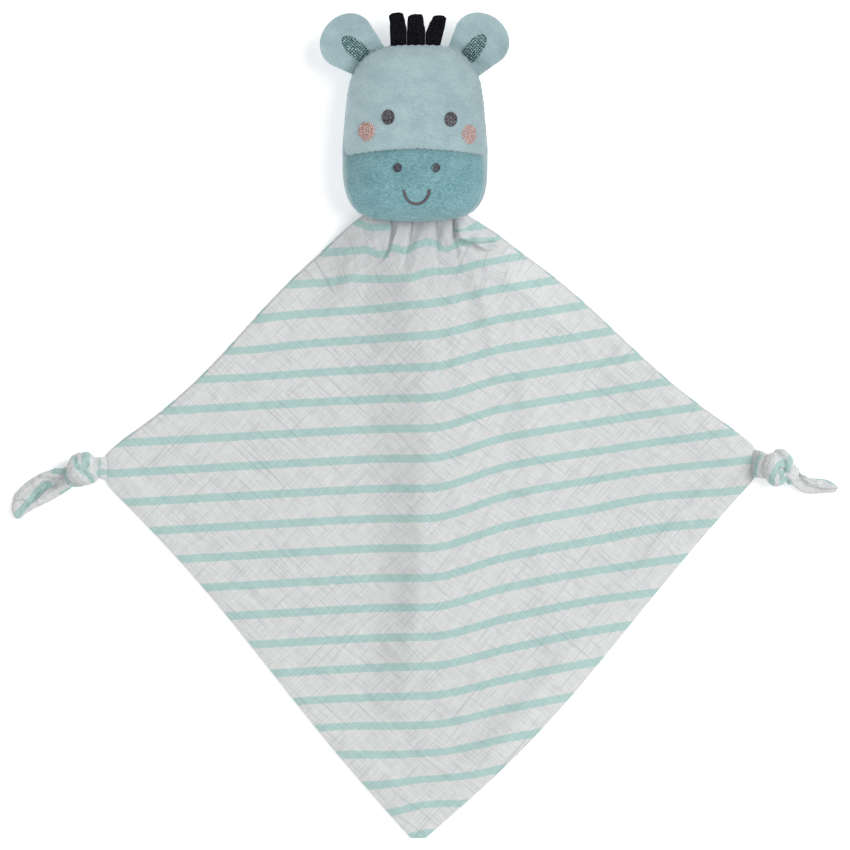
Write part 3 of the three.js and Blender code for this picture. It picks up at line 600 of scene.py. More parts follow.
blanket_low, blanket_high = box_mm("blanket_front_panel")
head_low, head_high = box_mm("head_back_panel")
LEFT_X, RIGHT_X, FOOT_Y = blanket_low[0], blanket_high[0], blanket_low[1]
CHIN_Y, CROWN_Y = head_low[1], head_high[1]
HEAD_Y = (CHIN_Y + CROWN_Y) / 2
print("blanket from", LEFT_X, "to", RIGHT_X, "foot", FOOT_Y, "chin", CHIN_Y, "crown", CROWN_Y)

# %% [markdown]
# ## Blanket: outline
#
# The square lies as a diamond, a little pulled out of shape. Each side bows and sways gently. The
# grid of the cloth runs from the neck down to the two side corners and on to the foot. A few rounds of
# averaging soften the blunt corners.

# %% Blanket outline
NECK_HALF = 30.5
NECK_GAP = -0.9
LEFT_CORNER_Y, RIGHT_CORNER_Y = -3, 1
CORNER_BLUNT = 18
NECK_FOLLOW = 22
FOOT_X, FOOT_BLUNT = 2, 9
# bow and sway of the upper and of the lower edge
LEFT_EDGES, RIGHT_EDGES = ((-2.5, 3.5), (-2.2, -2)), ((1.5, 3.5), (6, -2.5))
# rows beside the upper edge, at the corner and beside the lower edge, then columns
FRONT_GRID, BACK_GRID = ((120, 12, 120), 221), ((80, 10, 80), 121)
MIDDLE_CROWD = 0.3
CORNER_ROUNDS = 6
CHIN_POWER = 4
HEAD_HALF_WIDTH = 44
HEAD_HALF_HEIGHT = (CROWN_Y - CHIN_Y) / 2
# extra columns near each rim and rows near the foot, as shares of half the width and of the side
RIM_SHARES = np.array([0.0, 0.0005, 0.0013, 0.0025, 0.004, 0.006])


def edge_line(start, end, bow, sway, side, shares, outside):
    along = np.subtract(end, start)
    outward = side * np.array([-along[1], along[0]]) / np.hypot(*along)
    offset = bow * np.sin(math.pi * shares) + sway * np.sin(2 * math.pi * shares) + outside
    return np.array(start) + shares[:, None] * along + offset[:, None] * outward


def side_rim(side, upper, lower, counts, outside):
    """One side's rim from the neck to the foot. outside is how far it stands out along the upper edge."""
    corner_x, corner_y = (RIGHT_X, RIGHT_CORNER_Y) if side > 0 else (LEFT_X, LEFT_CORNER_Y)
    neck = (side * NECK_HALF, CHIN_Y - NECK_GAP)
    foot = (FOOT_X + side * FOOT_BLUNT / 2, FOOT_Y)
    above, below = (corner_x, corner_y + CORNER_BLUNT / 2), (corner_x, corner_y - CORNER_BLUNT / 2)
    near_neck = np.linspace(0, 1, counts[0]) ** 1.5
    near_foot = np.concatenate([np.linspace(0, 1, counts[2])[:-1], 1 - RIM_SHARES[::-1]])
    grown = outside * ease(near_neck * 8) * ease((1 - near_neck) * 12)
    line = np.concatenate([
        edge_line(neck, above, *upper, side, near_neck, grown),
        edge_line(above, below, 0, 0, side, np.linspace(0, 1, counts[1])[1:-1], 0),
        edge_line(below, foot, *lower, side, near_foot, 0),
    ])
    for _ in range(CORNER_ROUNDS):
        line[1:-1] = (line[:-2] + 2 * line[1:-1] + line[2:]) / 4
    return line


def chin_rise(x):
    """How far the neck edge follows the chin's outline upwards beside the middle."""
    share = np.minimum(np.abs(x), NECK_HALF) / HEAD_HALF_WIDTH
    return HEAD_HALF_HEIGHT * (1 - (1 - share ** CHIN_POWER) ** (1 / CHIN_POWER))


def cloth_grid(counts, columns, outside):
    """The flat grid of the lying cloth: x, y and the share across, each rows by columns."""
    left = side_rim(-1, *LEFT_EDGES, counts, outside)
    right = side_rim(1, *RIGHT_EDGES, counts, outside)
    even = np.linspace(-1, 1, columns)
    across = np.concatenate([-1 + RIM_SHARES, even[1:-1], 1 - RIM_SHARES[::-1]])
    share = (1 + (1 - MIDDLE_CROWD) * across + MIDDLE_CROWD * across ** 3) / 2
    x = left[:, :1] * (1 - share) + right[:, :1] * share
    y = left[:, 1:] * (1 - share) + right[:, 1:] * share
    follow = 1 - ease(np.abs(CHIN_Y - y) / NECK_FOLLOW)
    return x, y + follow * chin_rise(x), np.broadcast_to(across, x.shape)


front_x, front_y, front_across = cloth_grid(*FRONT_GRID, 0)
print("front layer grid:", front_x.shape)

# %% [markdown]
# ## Blanket: the printed stripes as they lie
#
# The stripes are straight on the flat cloth. As it lies, the cloth is pulled up right of the middle and
# a little here and there, so the stripes rise and bend. One formula says which stripe passes through
# a place: a slope, a rise beside the long fold, two bends and a few soft pulls.

# %% Stripe places
FIRST_STRIPE_Y, STRIPE_SLOPE, FOLD_RISE = 129.2, 0.056, 7.0
STRIPE_BENDS = (
    # x, how soft, change of slope
    (45, 6, 0.118), (135, 10, -0.038),
)
STRIPE_PULLS = (
    # middle x, middle y, half width, half height, pull
    (10, -215, 22, 30, 6.6), (12, -30, 24, 110, -1.8), (12, 110, 30, 40, 2.6), (45, -130, 24, 45, -1.0),
    (140, -25, 40, 25, 3.7), (110, 60, 40, 25, -0.8), (105, -90, 35, 25, 1.6), (-45, -175, 25, 25, 2.6),
    (-105, 75, 30, 20, -2.5), (75, -25, 30, 40, 2.0), (-6, 128, 5, 8, -3.2), (8, 133, 6, 8, 1.2),
    (19, 130, 5.5, 8, -5.4), (30, 132, 7, 7, -2.4), (46, 134, 11, 8, -4.8), (-38, 111, 8, 7, 1.7),
    (-12, 111, 8, 7, -1.6), (-2, 111, 5, 7, -1.8), (12, 115, 7, 7, 0.6), (26, 116, 8, 6, -0.9),
)
NECK_PULLS = (
    # x from, x to, how soft each of them is, the same for y, pull
    (-31.5, -14.2, 15, 0.8, 137, 180, 7, 1, -5.5), (22.8, 52, 1.2, 8, 137.5, 180, 7, 1, -11.5),
    (22.8, 34, 1.2, 14, 137.5, 180, 7, 1, -2.2), (-25, -15.2, 8, 1.2, 121, 134, 6, 4, -3.8),
)


def soft_bend(x, start, width):
    """0 before the start and rising by the distance after it, with a soft bend."""
    return width * np.logaddexp(0, (x - start) / width)


def between(value, low, high, soft_low, soft_high):
    """1 between two values and 0 outside them, with a soft step at each."""
    return ease((value - low) / soft_low + 0.5) * ease((high - value) / soft_high + 0.5)


def cloth_place(x, y):
    """The cloth's own place of a lying point: along the stripes, and across them from the first one."""
    lower = ease((100 - y) / 250)
    rise = STRIPE_SLOPE * x + ease((x - 8) / 48) * (FOLD_RISE - lower)
    for start, softness, change in STRIPE_BENDS:
        rise = rise + change * soft_bend(x, start, softness)
    for middle_x, middle_y, wide, high, pull in STRIPE_PULLS:
        rise = rise + pull * hump((x - middle_x) / wide) * hump((y - middle_y) / high)
    for left, right, soft_left, soft_right, low, high, soft_low, soft_high, pull in NECK_PULLS:
        shown = between(x, left, right, soft_left, soft_right) * between(y, low, high, soft_low, soft_high)
        rise = rise + pull * shown
    return x, FIRST_STRIPE_Y + rise - y


print("stripe at the middle:", round(float(cloth_place(0.0, 0.0)[1]) / STRIPE_PITCH, 2))

# %% [markdown]
# ## Blanket: drape, gathers and folds
#
# The cloth comes out of the chin seam 18 mm above the floor and falls to the floor within a hand's
# width. At the seam it is gathered into soft pleats. They all lean to the right, and each ends there in
# a sharp crease.

# %% Drape and gathers
MUSLIN = 0.7
SEAM_TOP = head_low[2] + 18.0
GATHERED_STACK = 2.15
DRAPE_REACH, DRAPE_POWER = 72, 2.2
CHIN_TUCK, TUCK_REACH = 2.4, 5.5
CREASES = (
    # x at the seam, x at the lower end, length, bend, depth
    (-31, -46, 30, 2.5, 0), (-14, -26.6, 30, 3.4, 0.9), (-1.4, -8, 30, 1.2, 0.9), (12.6, 13.4, 40, 1, 0.7),
    (22.6, 24, 15, 1, 0.8), (31, 46, 34, 2.5, 0),
)
PUFFS = (
    # height, then the share of its width over which it rises, right at the chin and further down
    (2.6, 0.5, 0.5), (3.2, 0.4, 0.15), (3.9, 0.85, 0.36), (2.8, 0.75, 0.3), (2.2, 0.3, 0.25),
)
CHIN_REACH = 16


def from_neck(x, y):
    beside = np.maximum(0, np.abs(x) - NECK_HALF)
    return np.hypot(beside, np.maximum(0, CHIN_Y - NECK_GAP + chin_rise(x) - y))


def drape(x, y):
    away = from_neck(x, y)
    fall = np.maximum(0, 1 - away / DRAPE_REACH) ** DRAPE_POWER
    return (SEAM_TOP - GATHERED_STACK) * fall - CHIN_TUCK * hump(away / TUCK_REACH)


def puffs(x, y):
    """Height of the puffs between the creases that fan out from the neck.

    Each rises softly from the crease on its left and ends round and steep at the one on its right."""
    away = from_neck(x, y)
    lines = [seam + (end - seam) * (away / length) ** bend for seam, end, length, bend, _ in CREASES]
    height = np.zeros_like(x)
    for number, (top, at_chin, below) in enumerate(PUFFS):
        left, right = lines[number:number + 2]
        length = CREASES[number + 1][2]
        rise = at_chin + (below - at_chin) * ease(away / CHIN_REACH)
        share = (x - left) / np.maximum(right - left, 0.1)
        inner = np.clip(share, 0, 1)
        bulge = ease(inner / rise) * (1 - 0.2 * inner) * np.sqrt(1 - inner ** 8)
        fade = (0.5 + 0.5 * ease(away / 6)) * (1 - ease((away - 7) / length))
        height = np.where((share > 0) & (share < 1), top * bulge * fade, height)
    for line, (_, _, length, _, depth) in zip(lines, CREASES):
        groove = hump((x - line) / (0.45 + 0.025 * away)) * (1 - ease((away - 6) / length))
        height = height - depth * groove
    return height


print("highest drape:", round(float(drape(np.array(0.0), np.array(CHIN_Y - 12))), 1))

# %% [markdown]
# The folds of the lying cloth are low risers: the cloth climbs to the right over a hand's width at
# most and then sinks back slowly. Each riser has a course down the blanket, so it is given by a few
# places: how far down, where it starts, where its crest is and how high it is there.

# %% Risers
RISERS = (
    # how far it takes to sink back, then the course: y, start x, crest x, height
    (75, ((146, -44, -8, 0), (132, -46, -4, 4.5), (110, -48, -1, 9.8), (60, -45, 8, 10.2),
          (30, -38, 9, 10.4), (-16, -31, 8, 10.2), (-58, -28, 5, 9.6), (-88, -28, 3, 9),
          (-118, -30, -1, 7.2), (-142, -34, -6, 4.4), (-165, -36, -10, 0))),
    (12, ((110, 16, 22, 0), (95, 16, 22, 0.7), (55, 18, 25, 0.7), (20, 20, 27, 0))),
    (8, ((128, 12, 20, 0), (122, 13, 23, 1.6), (117, 13.5, 25, 1.4), (110, 14, 26, 0))),
    (18, ((128, 22, 34, 0), (112, 24, 36, 3.4), (89, 31, 44, 2.8), (65, 36, 47, 1.4), (40, 41, 50, 0))),
    (30, ((128, 47, 56, 0), (110, 48, 57, 1.8), (83, 50, 60, 1.7), (65, 53, 65, 1.5), (20, 54, 67, 1.9),
          (-30, 58, 72, 1.6), (-70, 64, 78, 1.5), (-106, 68, 82, 1.1), (-125, 70, 84, 0))),
    (30, ((-20, 150, 182, 0), (-60, 122, 152, 1.6), (-95, 90, 120, 2.6), (-127, 62, 92, 4.2),
          (-151, 42, 70, 4.4), (-172, 26, 52, 3.2), (-190, 13, 40, 0))),
    (10, ((138, -46, -33, 0), (125, -54, -37, 3), (105, -60, -42, 3.8), (88, -62, -46, 0))),
    (15, ((-150, -14, 2, 0), (-168, -14, 4, 1.2), (-185, -8, 6, 0))),
    (9, ((-24, 42, 47, 0), (-31, 41, 46, 0.9), (-45, 35, 40, 0.9), (-58, 29, 34, 0))),
)


def course(places, column, y):
    """One value of a riser's course at each y, with its corners rounded."""
    steps = np.arange(-240.0, 160.0)
    rising = np.array(places[::-1])
    values = np.interp(steps, rising[:, 0], rising[:, column])
    for _ in range(3):
        values = np.convolve(np.pad(values, 6, mode="edge"), np.ones(13) / 13, mode="valid")
    return np.interp(y, steps, values)


def climb(value):
    """From 0 to 1, slowly at first, steepest at two thirds and flat at the end."""
    share = np.clip(value, 0, 1)
    return (7.8 * share ** 1.8 - 1.8 * share ** 7.8) / 6


def risers(x, y, across):
    height = np.zeros_like(x)
    for sink, places in RISERS:
        start, crest, top = (course(places, column, y) for column in (1, 2, 3))
        height = height + top * climb((x - start) / (crest - start)) * hump(np.maximum(0, x - crest) / sink)
    return height * ease((1 - np.abs(across)) / 0.22)


def ripples(x, y, rim):
    """Small uneven waves, none right at the rim."""
    a, b = (x + y) / math.sqrt(2), (y - x) / math.sqrt(2)
    waves = 0.3 * value_noise(a, b, 17, 3) + 0.26 * value_noise(a * 0.22, b, 8, 4)
    waves += 0.26 * value_noise(a, b * 0.22, 8, 5) + 0.08 * value_noise(x, y, 5, 6)
    return waves * ease(rim / 12)


print("risers:", len(RISERS))

# %% [markdown]
# Right of the middle two small pleats cross the cloth just below the chin. Each is a fold that hangs
# over: its lower edge is steep, and the cloth below it lies in its shade.

# %% Pleats beside the chin
PLEATS = (
    # height, hollow, how far it sinks back, then the places of its lower edge
    (4.6, 1.8, 9, ((22.6, 137.8), (26, 135), (30.5, 132.8), (36, 131.9), (41, 132.3), (47, 133.5),
                   (52, 135))),
    (3.0, 1.4, 3, ((33, 131.5), (38, 129.6), (42, 128), (45, 127.8), (49, 129.6), (54, 133))),
)


def pleat(x, y):
    height = np.zeros_like(x)
    for top, hollow, sink, places in PLEATS:
        line = np.interp(x, *zip(*places))
        shown = ease((x - places[0][0]) / 5) * ease((places[-1][0] - x) / 6)
        above = ease((y - line) / 1.2 + 0.5) * hump(np.maximum(0, y - line) / sink)
        below = hump((line - y - 1.8) / 1.8)
        height = height + shown * (top * above - hollow * below)
    return height


print("pleats on the right:", len(PLEATS))

# %% [markdown]
# ## Blanket: the two layers
#
# Two layers are sewn together and turned, so both rims are round. Both layers are closed sheets with a
# real thickness. Along the upper edges the back layer peeps out a little behind the front one.

# %% Blanket layers
HALF_THICK = MUSLIN / 2
RIM_ROLL = 2.2
BACK_PEEP = 1.1
BACK_STRIPE_SHIFT = 3.5
LAYER_GAP, LEAST_LIFT = 0.25, 0.05
LOFT, LOFT_REACH = 0.8, 6
HEM_STEP, HEM_STEP_WIDTH = 0.45, 7
# how much of the front layer's puffs the back layer shares
PUFF_SHARE = 0.35
GATHERS_AND_SHADE_REACH, NECK_BEND = 60, 26
# how much closer the threads lie at the neck, then the painted shade right below the chin: how strong, how
# far down and how wide
GATHERED, CHIN_SHADE, CHIN_SHADE_REACH, CHIN_SHADE_HALF = 0.77, 2.2, 17, 22
# the lower side of a sheet takes its pattern from another part of the noise
LOWER_SIDE_SHIFT = (7, 0, 40)


def rim_distance(x, y):
    flat = np.stack([x, y], 2)
    outline = np.concatenate([flat[:, 0], flat[-1], flat[::-1, -1]])
    return distance_to(flat.reshape(-1, 2), outline).reshape(x.shape)


def shade_near_neck(x, y):
    """Painted shade near the neck, where the gathers lie close and the chin hangs over them: most in the
    middle right below the chin.
    """
    away = from_neck(x, y)
    below_chin = (1 - ease(away / CHIN_SHADE_REACH)) * (1 - ease((np.abs(x - 1) - CHIN_SHADE_HALF) / 8))
    return 1 - ease((away - 8) / GATHERS_AND_SHADE_REACH) + CHIN_SHADE * below_chin


def layer(name, x, y, top, bottom, rim, stripe_shift, node_name):
    """A closed sheet between two heights, bent up at the neck, with the numbers that its material reads."""
    obj = mesh_piece(name, both_grids(x, y, top, bottom), closed_sheet(*x.shape))
    along, stripe = cloth_place(x, y)
    stripe = stripe + stripe_shift
    gathered = along * (1 + GATHERED * (1 - ease(from_neck(x, y) / GATHERS_AND_SHADE_REACH)))
    place = np.stack([gathered, stripe, np.zeros_like(x)], 2).reshape(-1, 3)
    set_place(obj, np.concatenate([place, place + LOWER_SIDE_SHIFT]))
    set_number(obj, "stripe", np.tile(stripe.ravel(), 2))
    set_number(obj, "rim", np.tile(rim.ravel(), 2))
    # how much painted shade lies on each point near the neck
    set_number(obj, "neck_shade", np.tile(shade_near_neck(x, y).ravel(), 2))
    obj.data.materials.append(muslin)
    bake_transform(obj)
    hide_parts(node_name)
    return obj


back_x, back_y, _ = cloth_grid(*BACK_GRID, BACK_PEEP)
back_rim = rim_distance(back_x, back_y)
back_puffs = PUFF_SHARE * np.maximum(puffs(back_x, back_y), 0)
back_middle = np.maximum(drape(back_x, back_y), 0) + back_puffs + HALF_THICK
back_round = rounded(back_rim / RIM_ROLL)
back_layer = layer(
    "blanket_back_layer", back_x, back_y, back_middle + HALF_THICK * back_round,
    back_middle - (HALF_THICK - 0.05) * back_round, back_rim, BACK_STRIPE_SHIFT, "blanket_back_panel",
)

front_rim = rim_distance(front_x, front_y)
front_puffs = puffs(front_x, front_y)
shared_puffs = PUFF_SHARE * np.maximum(front_puffs, 0)
front_base = np.maximum(drape(front_x, front_y), 0) + MUSLIN + shared_puffs
front_lift = front_puffs - shared_puffs + risers(front_x, front_y, front_across) + pleat(front_x, front_y)
front_lift = front_lift + ripples(front_x, front_y, front_rim) + LOFT * ease(front_rim / LOFT_REACH)
front_lift = front_lift - HEM_STEP * ease((front_rim - HEM_WIDTH + 3) / HEM_STEP_WIDTH)
front_middle = front_base + LAYER_GAP + HALF_THICK + np.maximum(front_lift, LEAST_LIFT)
front_round = HALF_THICK * rounded(front_rim / RIM_ROLL)
front_layer = layer(
    "blanket_front_layer", front_x, front_y, front_middle + front_round, front_middle - front_round,
    front_rim, 0, "blanket_front_panel",
)
print("layers:", len(back_layer.data.vertices), len(front_layer.data.vertices), "points")

# %% [markdown]
# ## Head: one pillow, three panels
#
# The head is a stuffed pillow, wider at the muzzle than at the brow. It is worked out as one round net
# first: rings from the back, over the side, to the front. Then the panels are cut from it along their
# seams, so that they always meet. Each seam sinks into a groove with small puckers.

# %% Head surface
HEAD_FRONT, HEAD_BACK, HEAD_FLAT = 27.0, 18.5, 0.5
HEAD_Z = HEAD_BACK - HEAD_FLAT
BROW_POWER, CROWN_POWER, BROW_TAPER = 3.2, 2.3, 0.12
MUZZLE_SWELL, MUZZLE_Y, MUZZLE_REACH = 0.1, -32, 20
MUZZLE_SEAM_DROP, MUZZLE_SEAM_ARCH, SEAM_WOBBLE = 10.0, 4.4, 0.18
SIDE_SEAM_LEVEL, SIDE_SEAM_CLIMB, SIDE_SEAM_DIP, SIDE_SEAM_TOP = 2.0, 6.5, 4.5, -0.35
PUCKER_PITCH = 4.2
HEAD_TURNS = 300


def head_radius(turn):
    """Radius of the head's outline: square at the chin, rounder and narrower at the brow."""
    brow = ((1 + np.sin(turn)) / 2) ** 2
    wide = np.cos(turn) / (HEAD_HALF_WIDTH * (1 - BROW_TAPER * brow))
    high = np.sin(turn) / HEAD_HALF_HEIGHT
    power = CHIN_POWER + (BROW_POWER - CHIN_POWER) * brow
    return (np.abs(wide) ** power + np.abs(high) ** power) ** (-1 / power)


def muzzle_swell(y):
    return 1 + MUZZLE_SWELL * hump((y - MUZZLE_Y) / MUZZLE_REACH)


def face_height(x, y):
    """Height of the head's front over its middle plane."""
    reach = np.hypot(x, y) / head_radius(np.arctan2(y, x))
    return HEAD_FRONT * np.sqrt(np.clip(1 - reach ** CROWN_POWER, 0, 1)) * muzzle_swell(y)


def head_point(turn, climb):
    """A point of the pillow. climb runs from -90 degrees at the back to 90 at the front."""
    reach = np.cos(climb) ** (2 / CROWN_POWER)
    radius = reach * head_radius(turn)
    x, y = radius * np.cos(turn), radius * np.sin(turn)
    front = HEAD_FRONT * muzzle_swell(y) * np.sin(climb)
    back = HEAD_BACK * np.sin(climb)
    z = np.where(climb > 0, front, back)
    return x, y, np.maximum(z, -HEAD_Z)


def muzzle_seam(x):
    """The seam between face and muzzle is a flat arch with a faint scallop from its stitches."""
    wobble = SEAM_WOBBLE * np.sin(2 * math.pi * np.asarray(x) / PUCKER_PITCH)
    return -MUZZLE_SEAM_DROP - MUZZLE_SEAM_ARCH * (x / HEAD_HALF_WIDTH) ** 2 + wobble


def side_seam_rise(turn):
    """Height of the side seam over the middle plane. It climbs beside the muzzle and dips at the chin."""
    up = np.sin(turn)
    from_muzzle = up - SIDE_SEAM_TOP
    beside = np.where(from_muzzle > 0, hump(from_muzzle / 0.14), hump(from_muzzle / 0.36))
    return SIDE_SEAM_LEVEL + SIDE_SEAM_CLIMB * beside - SIDE_SEAM_DIP * hump((up + 1) / 0.15)


def seam_climb(turn):
    rise = side_seam_rise(turn)
    return np.arcsin(rise / np.where(rise > 0, HEAD_FRONT, HEAD_BACK))


print("side seam beside the muzzle:", round(float(side_seam_rise(math.radians(-25))), 1), "mm up")

# %% Head panels
GROOVE_DEPTH, GROOVE_HALF = 1.1, 1.0
CROSS_GROOVE_DEPTH, CROSS_GROOVE_HALF = 0.8, 0.8
PUCKER, CROWN_PUCKER, CROSS_PUCKER = 0.16, 0.12, 0.12
PLUMP, CROSS_PLUMP = 0.35, 0.25
PANEL_THICKNESS = 1.2
BACK_ROWS, FRONT_ROWS = 46, 66
BACK_TAG, FRONT_TAG = 0, 1


def head_net():
    """The whole pillow as a mesh, with edges along both seams. Front faces carry the front tag."""
    turns = np.arange(HEAD_TURNS) * 2 * math.pi / HEAD_TURNS
    seam = seam_climb(turns)[None, :]
    to_seam = np.linspace(0, 1, BACK_ROWS)[1:, None]
    to_pole = np.linspace(0, 1, FRONT_ROWS)[1:-1, None]
    behind_seam = (seam + math.pi / 2) * to_seam - math.pi / 2
    before_seam = seam + (math.pi / 2 - seam) * to_pole
    climbs = np.concatenate([behind_seam, before_seam])
    x, y, z = head_point(np.broadcast_to(turns, climbs.shape), climbs)
    points = np.stack([x, y, z], 2).reshape(-1, 3)
    faces = grid_faces(len(climbs), HEAD_TURNS, wrap=True)
    points = np.concatenate([points, [[0, 0, -HEAD_Z], [0, 0, HEAD_FRONT * float(muzzle_swell(0.0))]]])
    back_pole, front_pole, last = len(points) - 2, len(points) - 1, (len(climbs) - 1) * HEAD_TURNS
    for step in range(HEAD_TURNS):
        after = (step + 1) % HEAD_TURNS
        faces.append((front_pole, last + step, last + after))
        faces.append((back_pole, after, step))
    mesh = bmesh.new()
    made = [mesh.verts.new(point) for point in points]
    seam_row = BACK_ROWS - 2
    for face in faces:
        fresh = mesh.faces.new([made[index] for index in face])
        behind = back_pole in face or (front_pole not in face and min(face) < seam_row * HEAD_TURNS)
        fresh.material_index = BACK_TAG if behind else FRONT_TAG
    for vert in mesh.verts:
        vert.co.y -= muzzle_seam(vert.co.x)
    front = [face for face in mesh.faces if face.material_index == FRONT_TAG]
    touched = {vert for face in front for vert in face.verts}
    touched |= {edge for face in front for edge in face.edges}
    cut = front + list(touched)
    bmesh.ops.bisect_plane(mesh, geom=cut, dist=0.02, plane_co=(0, 0, 0), plane_no=(0, 1, 0))
    for vert in mesh.verts:
        vert.co.y += muzzle_seam(vert.co.x)
    mesh.normal_update()
    return mesh


def head_groove(x, y, z, turn):
    """How far the surface moves in or out near the seams: a groove, puckers and plump cloth beside it."""
    side = np.abs(z - side_seam_rise(turn))
    front = ease((z - side_seam_rise(turn)) / 3)
    cross = np.abs(y - muzzle_seam(x))
    run = turn * HEAD_HALF_HEIGHT
    depth = PUCKER + CROWN_PUCKER * ease((np.sin(turn) - 0.5) / 0.3)
    pucker = depth * np.sin(2 * math.pi * run / PUCKER_PITCH) * hump((side - 2.2) / 1.6)
    cross_pucker = CROSS_PUCKER * np.sin(2 * math.pi * x / PUCKER_PITCH) * hump((cross - 2.0) / 1.5)
    groove = GROOVE_DEPTH * hump(side / GROOVE_HALF)
    groove = groove + CROSS_GROOVE_DEPTH * hump(cross / CROSS_GROOVE_HALF) * front
    plump = PLUMP * hump((side - 5) / 3) + CROSS_PLUMP * hump((cross - 4.5) / 3) * front
    return plump + pucker + cross_pucker * front - groove


net = head_net()
net.verts.ensure_lookup_table()
net_points = np.array([vert.co for vert in net.verts])
net_normals = np.array([vert.normal for vert in net.verts])
net_faces = [[vert.index for vert in face.verts] for face in net.faces]
net_tags = [face.material_index for face in net.faces]
net.free()
px, py, pz = net_points.T
dents = 0.35 * value_noise(px + 0.4 * pz, py, 19, 11) + 0.2 * value_noise(px, py + pz, 8, 12)
move = head_groove(px, py, pz, np.arctan2(py, px)) + dents * ease((pz + HEAD_Z) / 6)
shaped = net_points + net_normals * move[:, None]
shaped[:, 2] = np.maximum(shaped[:, 2], -HEAD_Z)


def solid_panel(name, keep, material, node_name):
    """A panel of velboa with a thickness, cut from the pillow."""
    faces = [face for face, tag in zip(net_faces, net_tags) if keep(tag, net_points[face].mean(0))]
    used = sorted({index for face in faces for index in face})
    renumber = {index: count for count, index in enumerate(used)}
    kept_faces = [[renumber[index] for index in face] for face in faces]
    obj = mesh_piece(name, shaped[used] + (0, HEAD_Y, HEAD_Z), kept_faces)
    set_place(obj, net_points[used])
    obj.data.materials.append(material)
    thick = obj.modifiers.new("thickness", "SOLIDIFY")
    thick.thickness = PANEL_THICKNESS * MM
    thick.offset = -1
    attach(obj, "head")
    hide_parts(node_name)
    return obj


def above_seam(place):
    return place[1] > muzzle_seam(place[0])


head_back = solid_panel("head_back", lambda tag, p: tag == BACK_TAG, pale_velboa, "head_back_panel")
head_face = solid_panel(
    "head_face", lambda tag, p: tag == FRONT_TAG and above_seam(p), pale_velboa, "face_panel")
head_muzzle = solid_panel(
    "head_muzzle", lambda tag, p: tag == FRONT_TAG and not above_seam(p), teal_velboa, "muzzle_panel")
print("head:", [(obj.name, len(obj.data.vertices)) for obj in (head_back, head_face, head_muzzle)])

# %% Head filling
FILLING_SHARE = 1 - 2.6 / HEAD_BACK
FILLING_LUMPS, FILLING_FLOOR = 0.02, 1.6


def head_filling_piece():
    """The fibre filling, a smaller lumpy pillow inside the panels."""
    lumps = 1 + FILLING_LUMPS * value_noise(px, py + pz, 11, 21)
    points = net_points * FILLING_SHARE * lumps[:, None]
    points[:, 2] = np.maximum(points[:, 2], FILLING_FLOOR - HEAD_Z)
    obj = mesh_piece("head_filling", points + (0, HEAD_Y, HEAD_Z), net_faces)
    set_place(obj, net_points)
    obj.data.materials.append(filling)
    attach(obj, "head")
    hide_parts("head_stuffing")
    return obj


head_filling = head_filling_piece()
print("made", head_filling.name)

# %% [markdown]
# ## Face: embroidery
#
# Eyes, nostrils and cheeks are filled with short stitches, and the smile is two dark threads side by
# side, with short lighter stitches across. Each stitch is a thin tube that dips into the velboa at both
# ends, so the fields have a real thread relief. The cheeks are sewn loosely in two shades, a pale one
# below and a salmon one on top, and the pile shows between their stitches. A dark line of stitches
# runs round the eyes.

# %% Stitches
GOLDEN_TURN = 2.39996


def on_face(x, y, lift):
    """A point over the face, lifted square to its slope, in the row frame."""
    step = 0.5
    here = face_height(x, y)
    slope_x = (face_height(x + step, y) - face_height(x - step, y)) / (2 * step)
    slope_y = (face_height(x, y + step) - face_height(x, y - step)) / (2 * step)
    normal = np.stack([-slope_x, -slope_y, np.ones_like(here)], -1)
    normal /= np.linalg.norm(normal, axis=-1)[..., None]
    base = np.stack([x, y + HEAD_Y, here + HEAD_Z], -1)
    return base + normal * np.asarray(lift)[..., None]


def stitch(start, end, radius, rise, surface=on_face):
    """One short thread that rises from a surface and dips into it at both ends."""
    share = np.linspace(0, 1, 6)
    x = start[0] + (end[0] - start[0]) * share
    y = start[1] + (end[1] - start[1]) * share
    dip = 0.6 * radius
    lift = (rise + dip) * np.sin(math.pi * share) ** 0.6 - dip
    return tube(surface(x, y, lift), radius)


def stitched_piece(name, parts, material, node_name, body):
    points, faces = joined(parts)
    obj = mesh_piece(name, points, faces)
    set_place(obj, points)
    obj.data.materials.append(material)
    if body:
        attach(obj, body)
    if node_name:
        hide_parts(node_name)
    return obj


def filled_oval(middle, half_width, half_height, pitch, radius, rise, seed):
    """Rows of short slanting stitches that fill an oval."""
    draw = random.Random(seed)
    parts = []
    rows = int(2 * half_height / pitch)
    for row in range(rows + 1):
        y = -half_height + 2 * half_height * row / rows
        half = half_width * math.sqrt(max(0.0, 1 - (y / half_height) ** 2))
        x = -half + draw.uniform(0, 0.8)
        while x < half:
            long = draw.uniform(1.4, 2.6)
            end = min(x + long, half)
            if end - x > 0.5:
                tilt = draw.uniform(-0.25, 0.25)
                first = (middle[0] + x, middle[1] + y - tilt)
                last = (middle[0] + end, middle[1] + y + tilt)
                parts.append(stitch(first, last, radius, rise + draw.uniform(-0.05, 0.08)))
            x = end + draw.uniform(-0.1, 0.15)
    return parts


def oval_border(middle, half_width, half_height, radius, rise, count):
    """A ring of stitches round an oval."""
    turns = np.linspace(0, 2 * math.pi, count + 1)
    ring = [(middle[0] + half_width * math.cos(t), middle[1] + half_height * math.sin(t)) for t in turns]
    return [stitch(a, b, radius, rise) for a, b in zip(ring, ring[1:])]


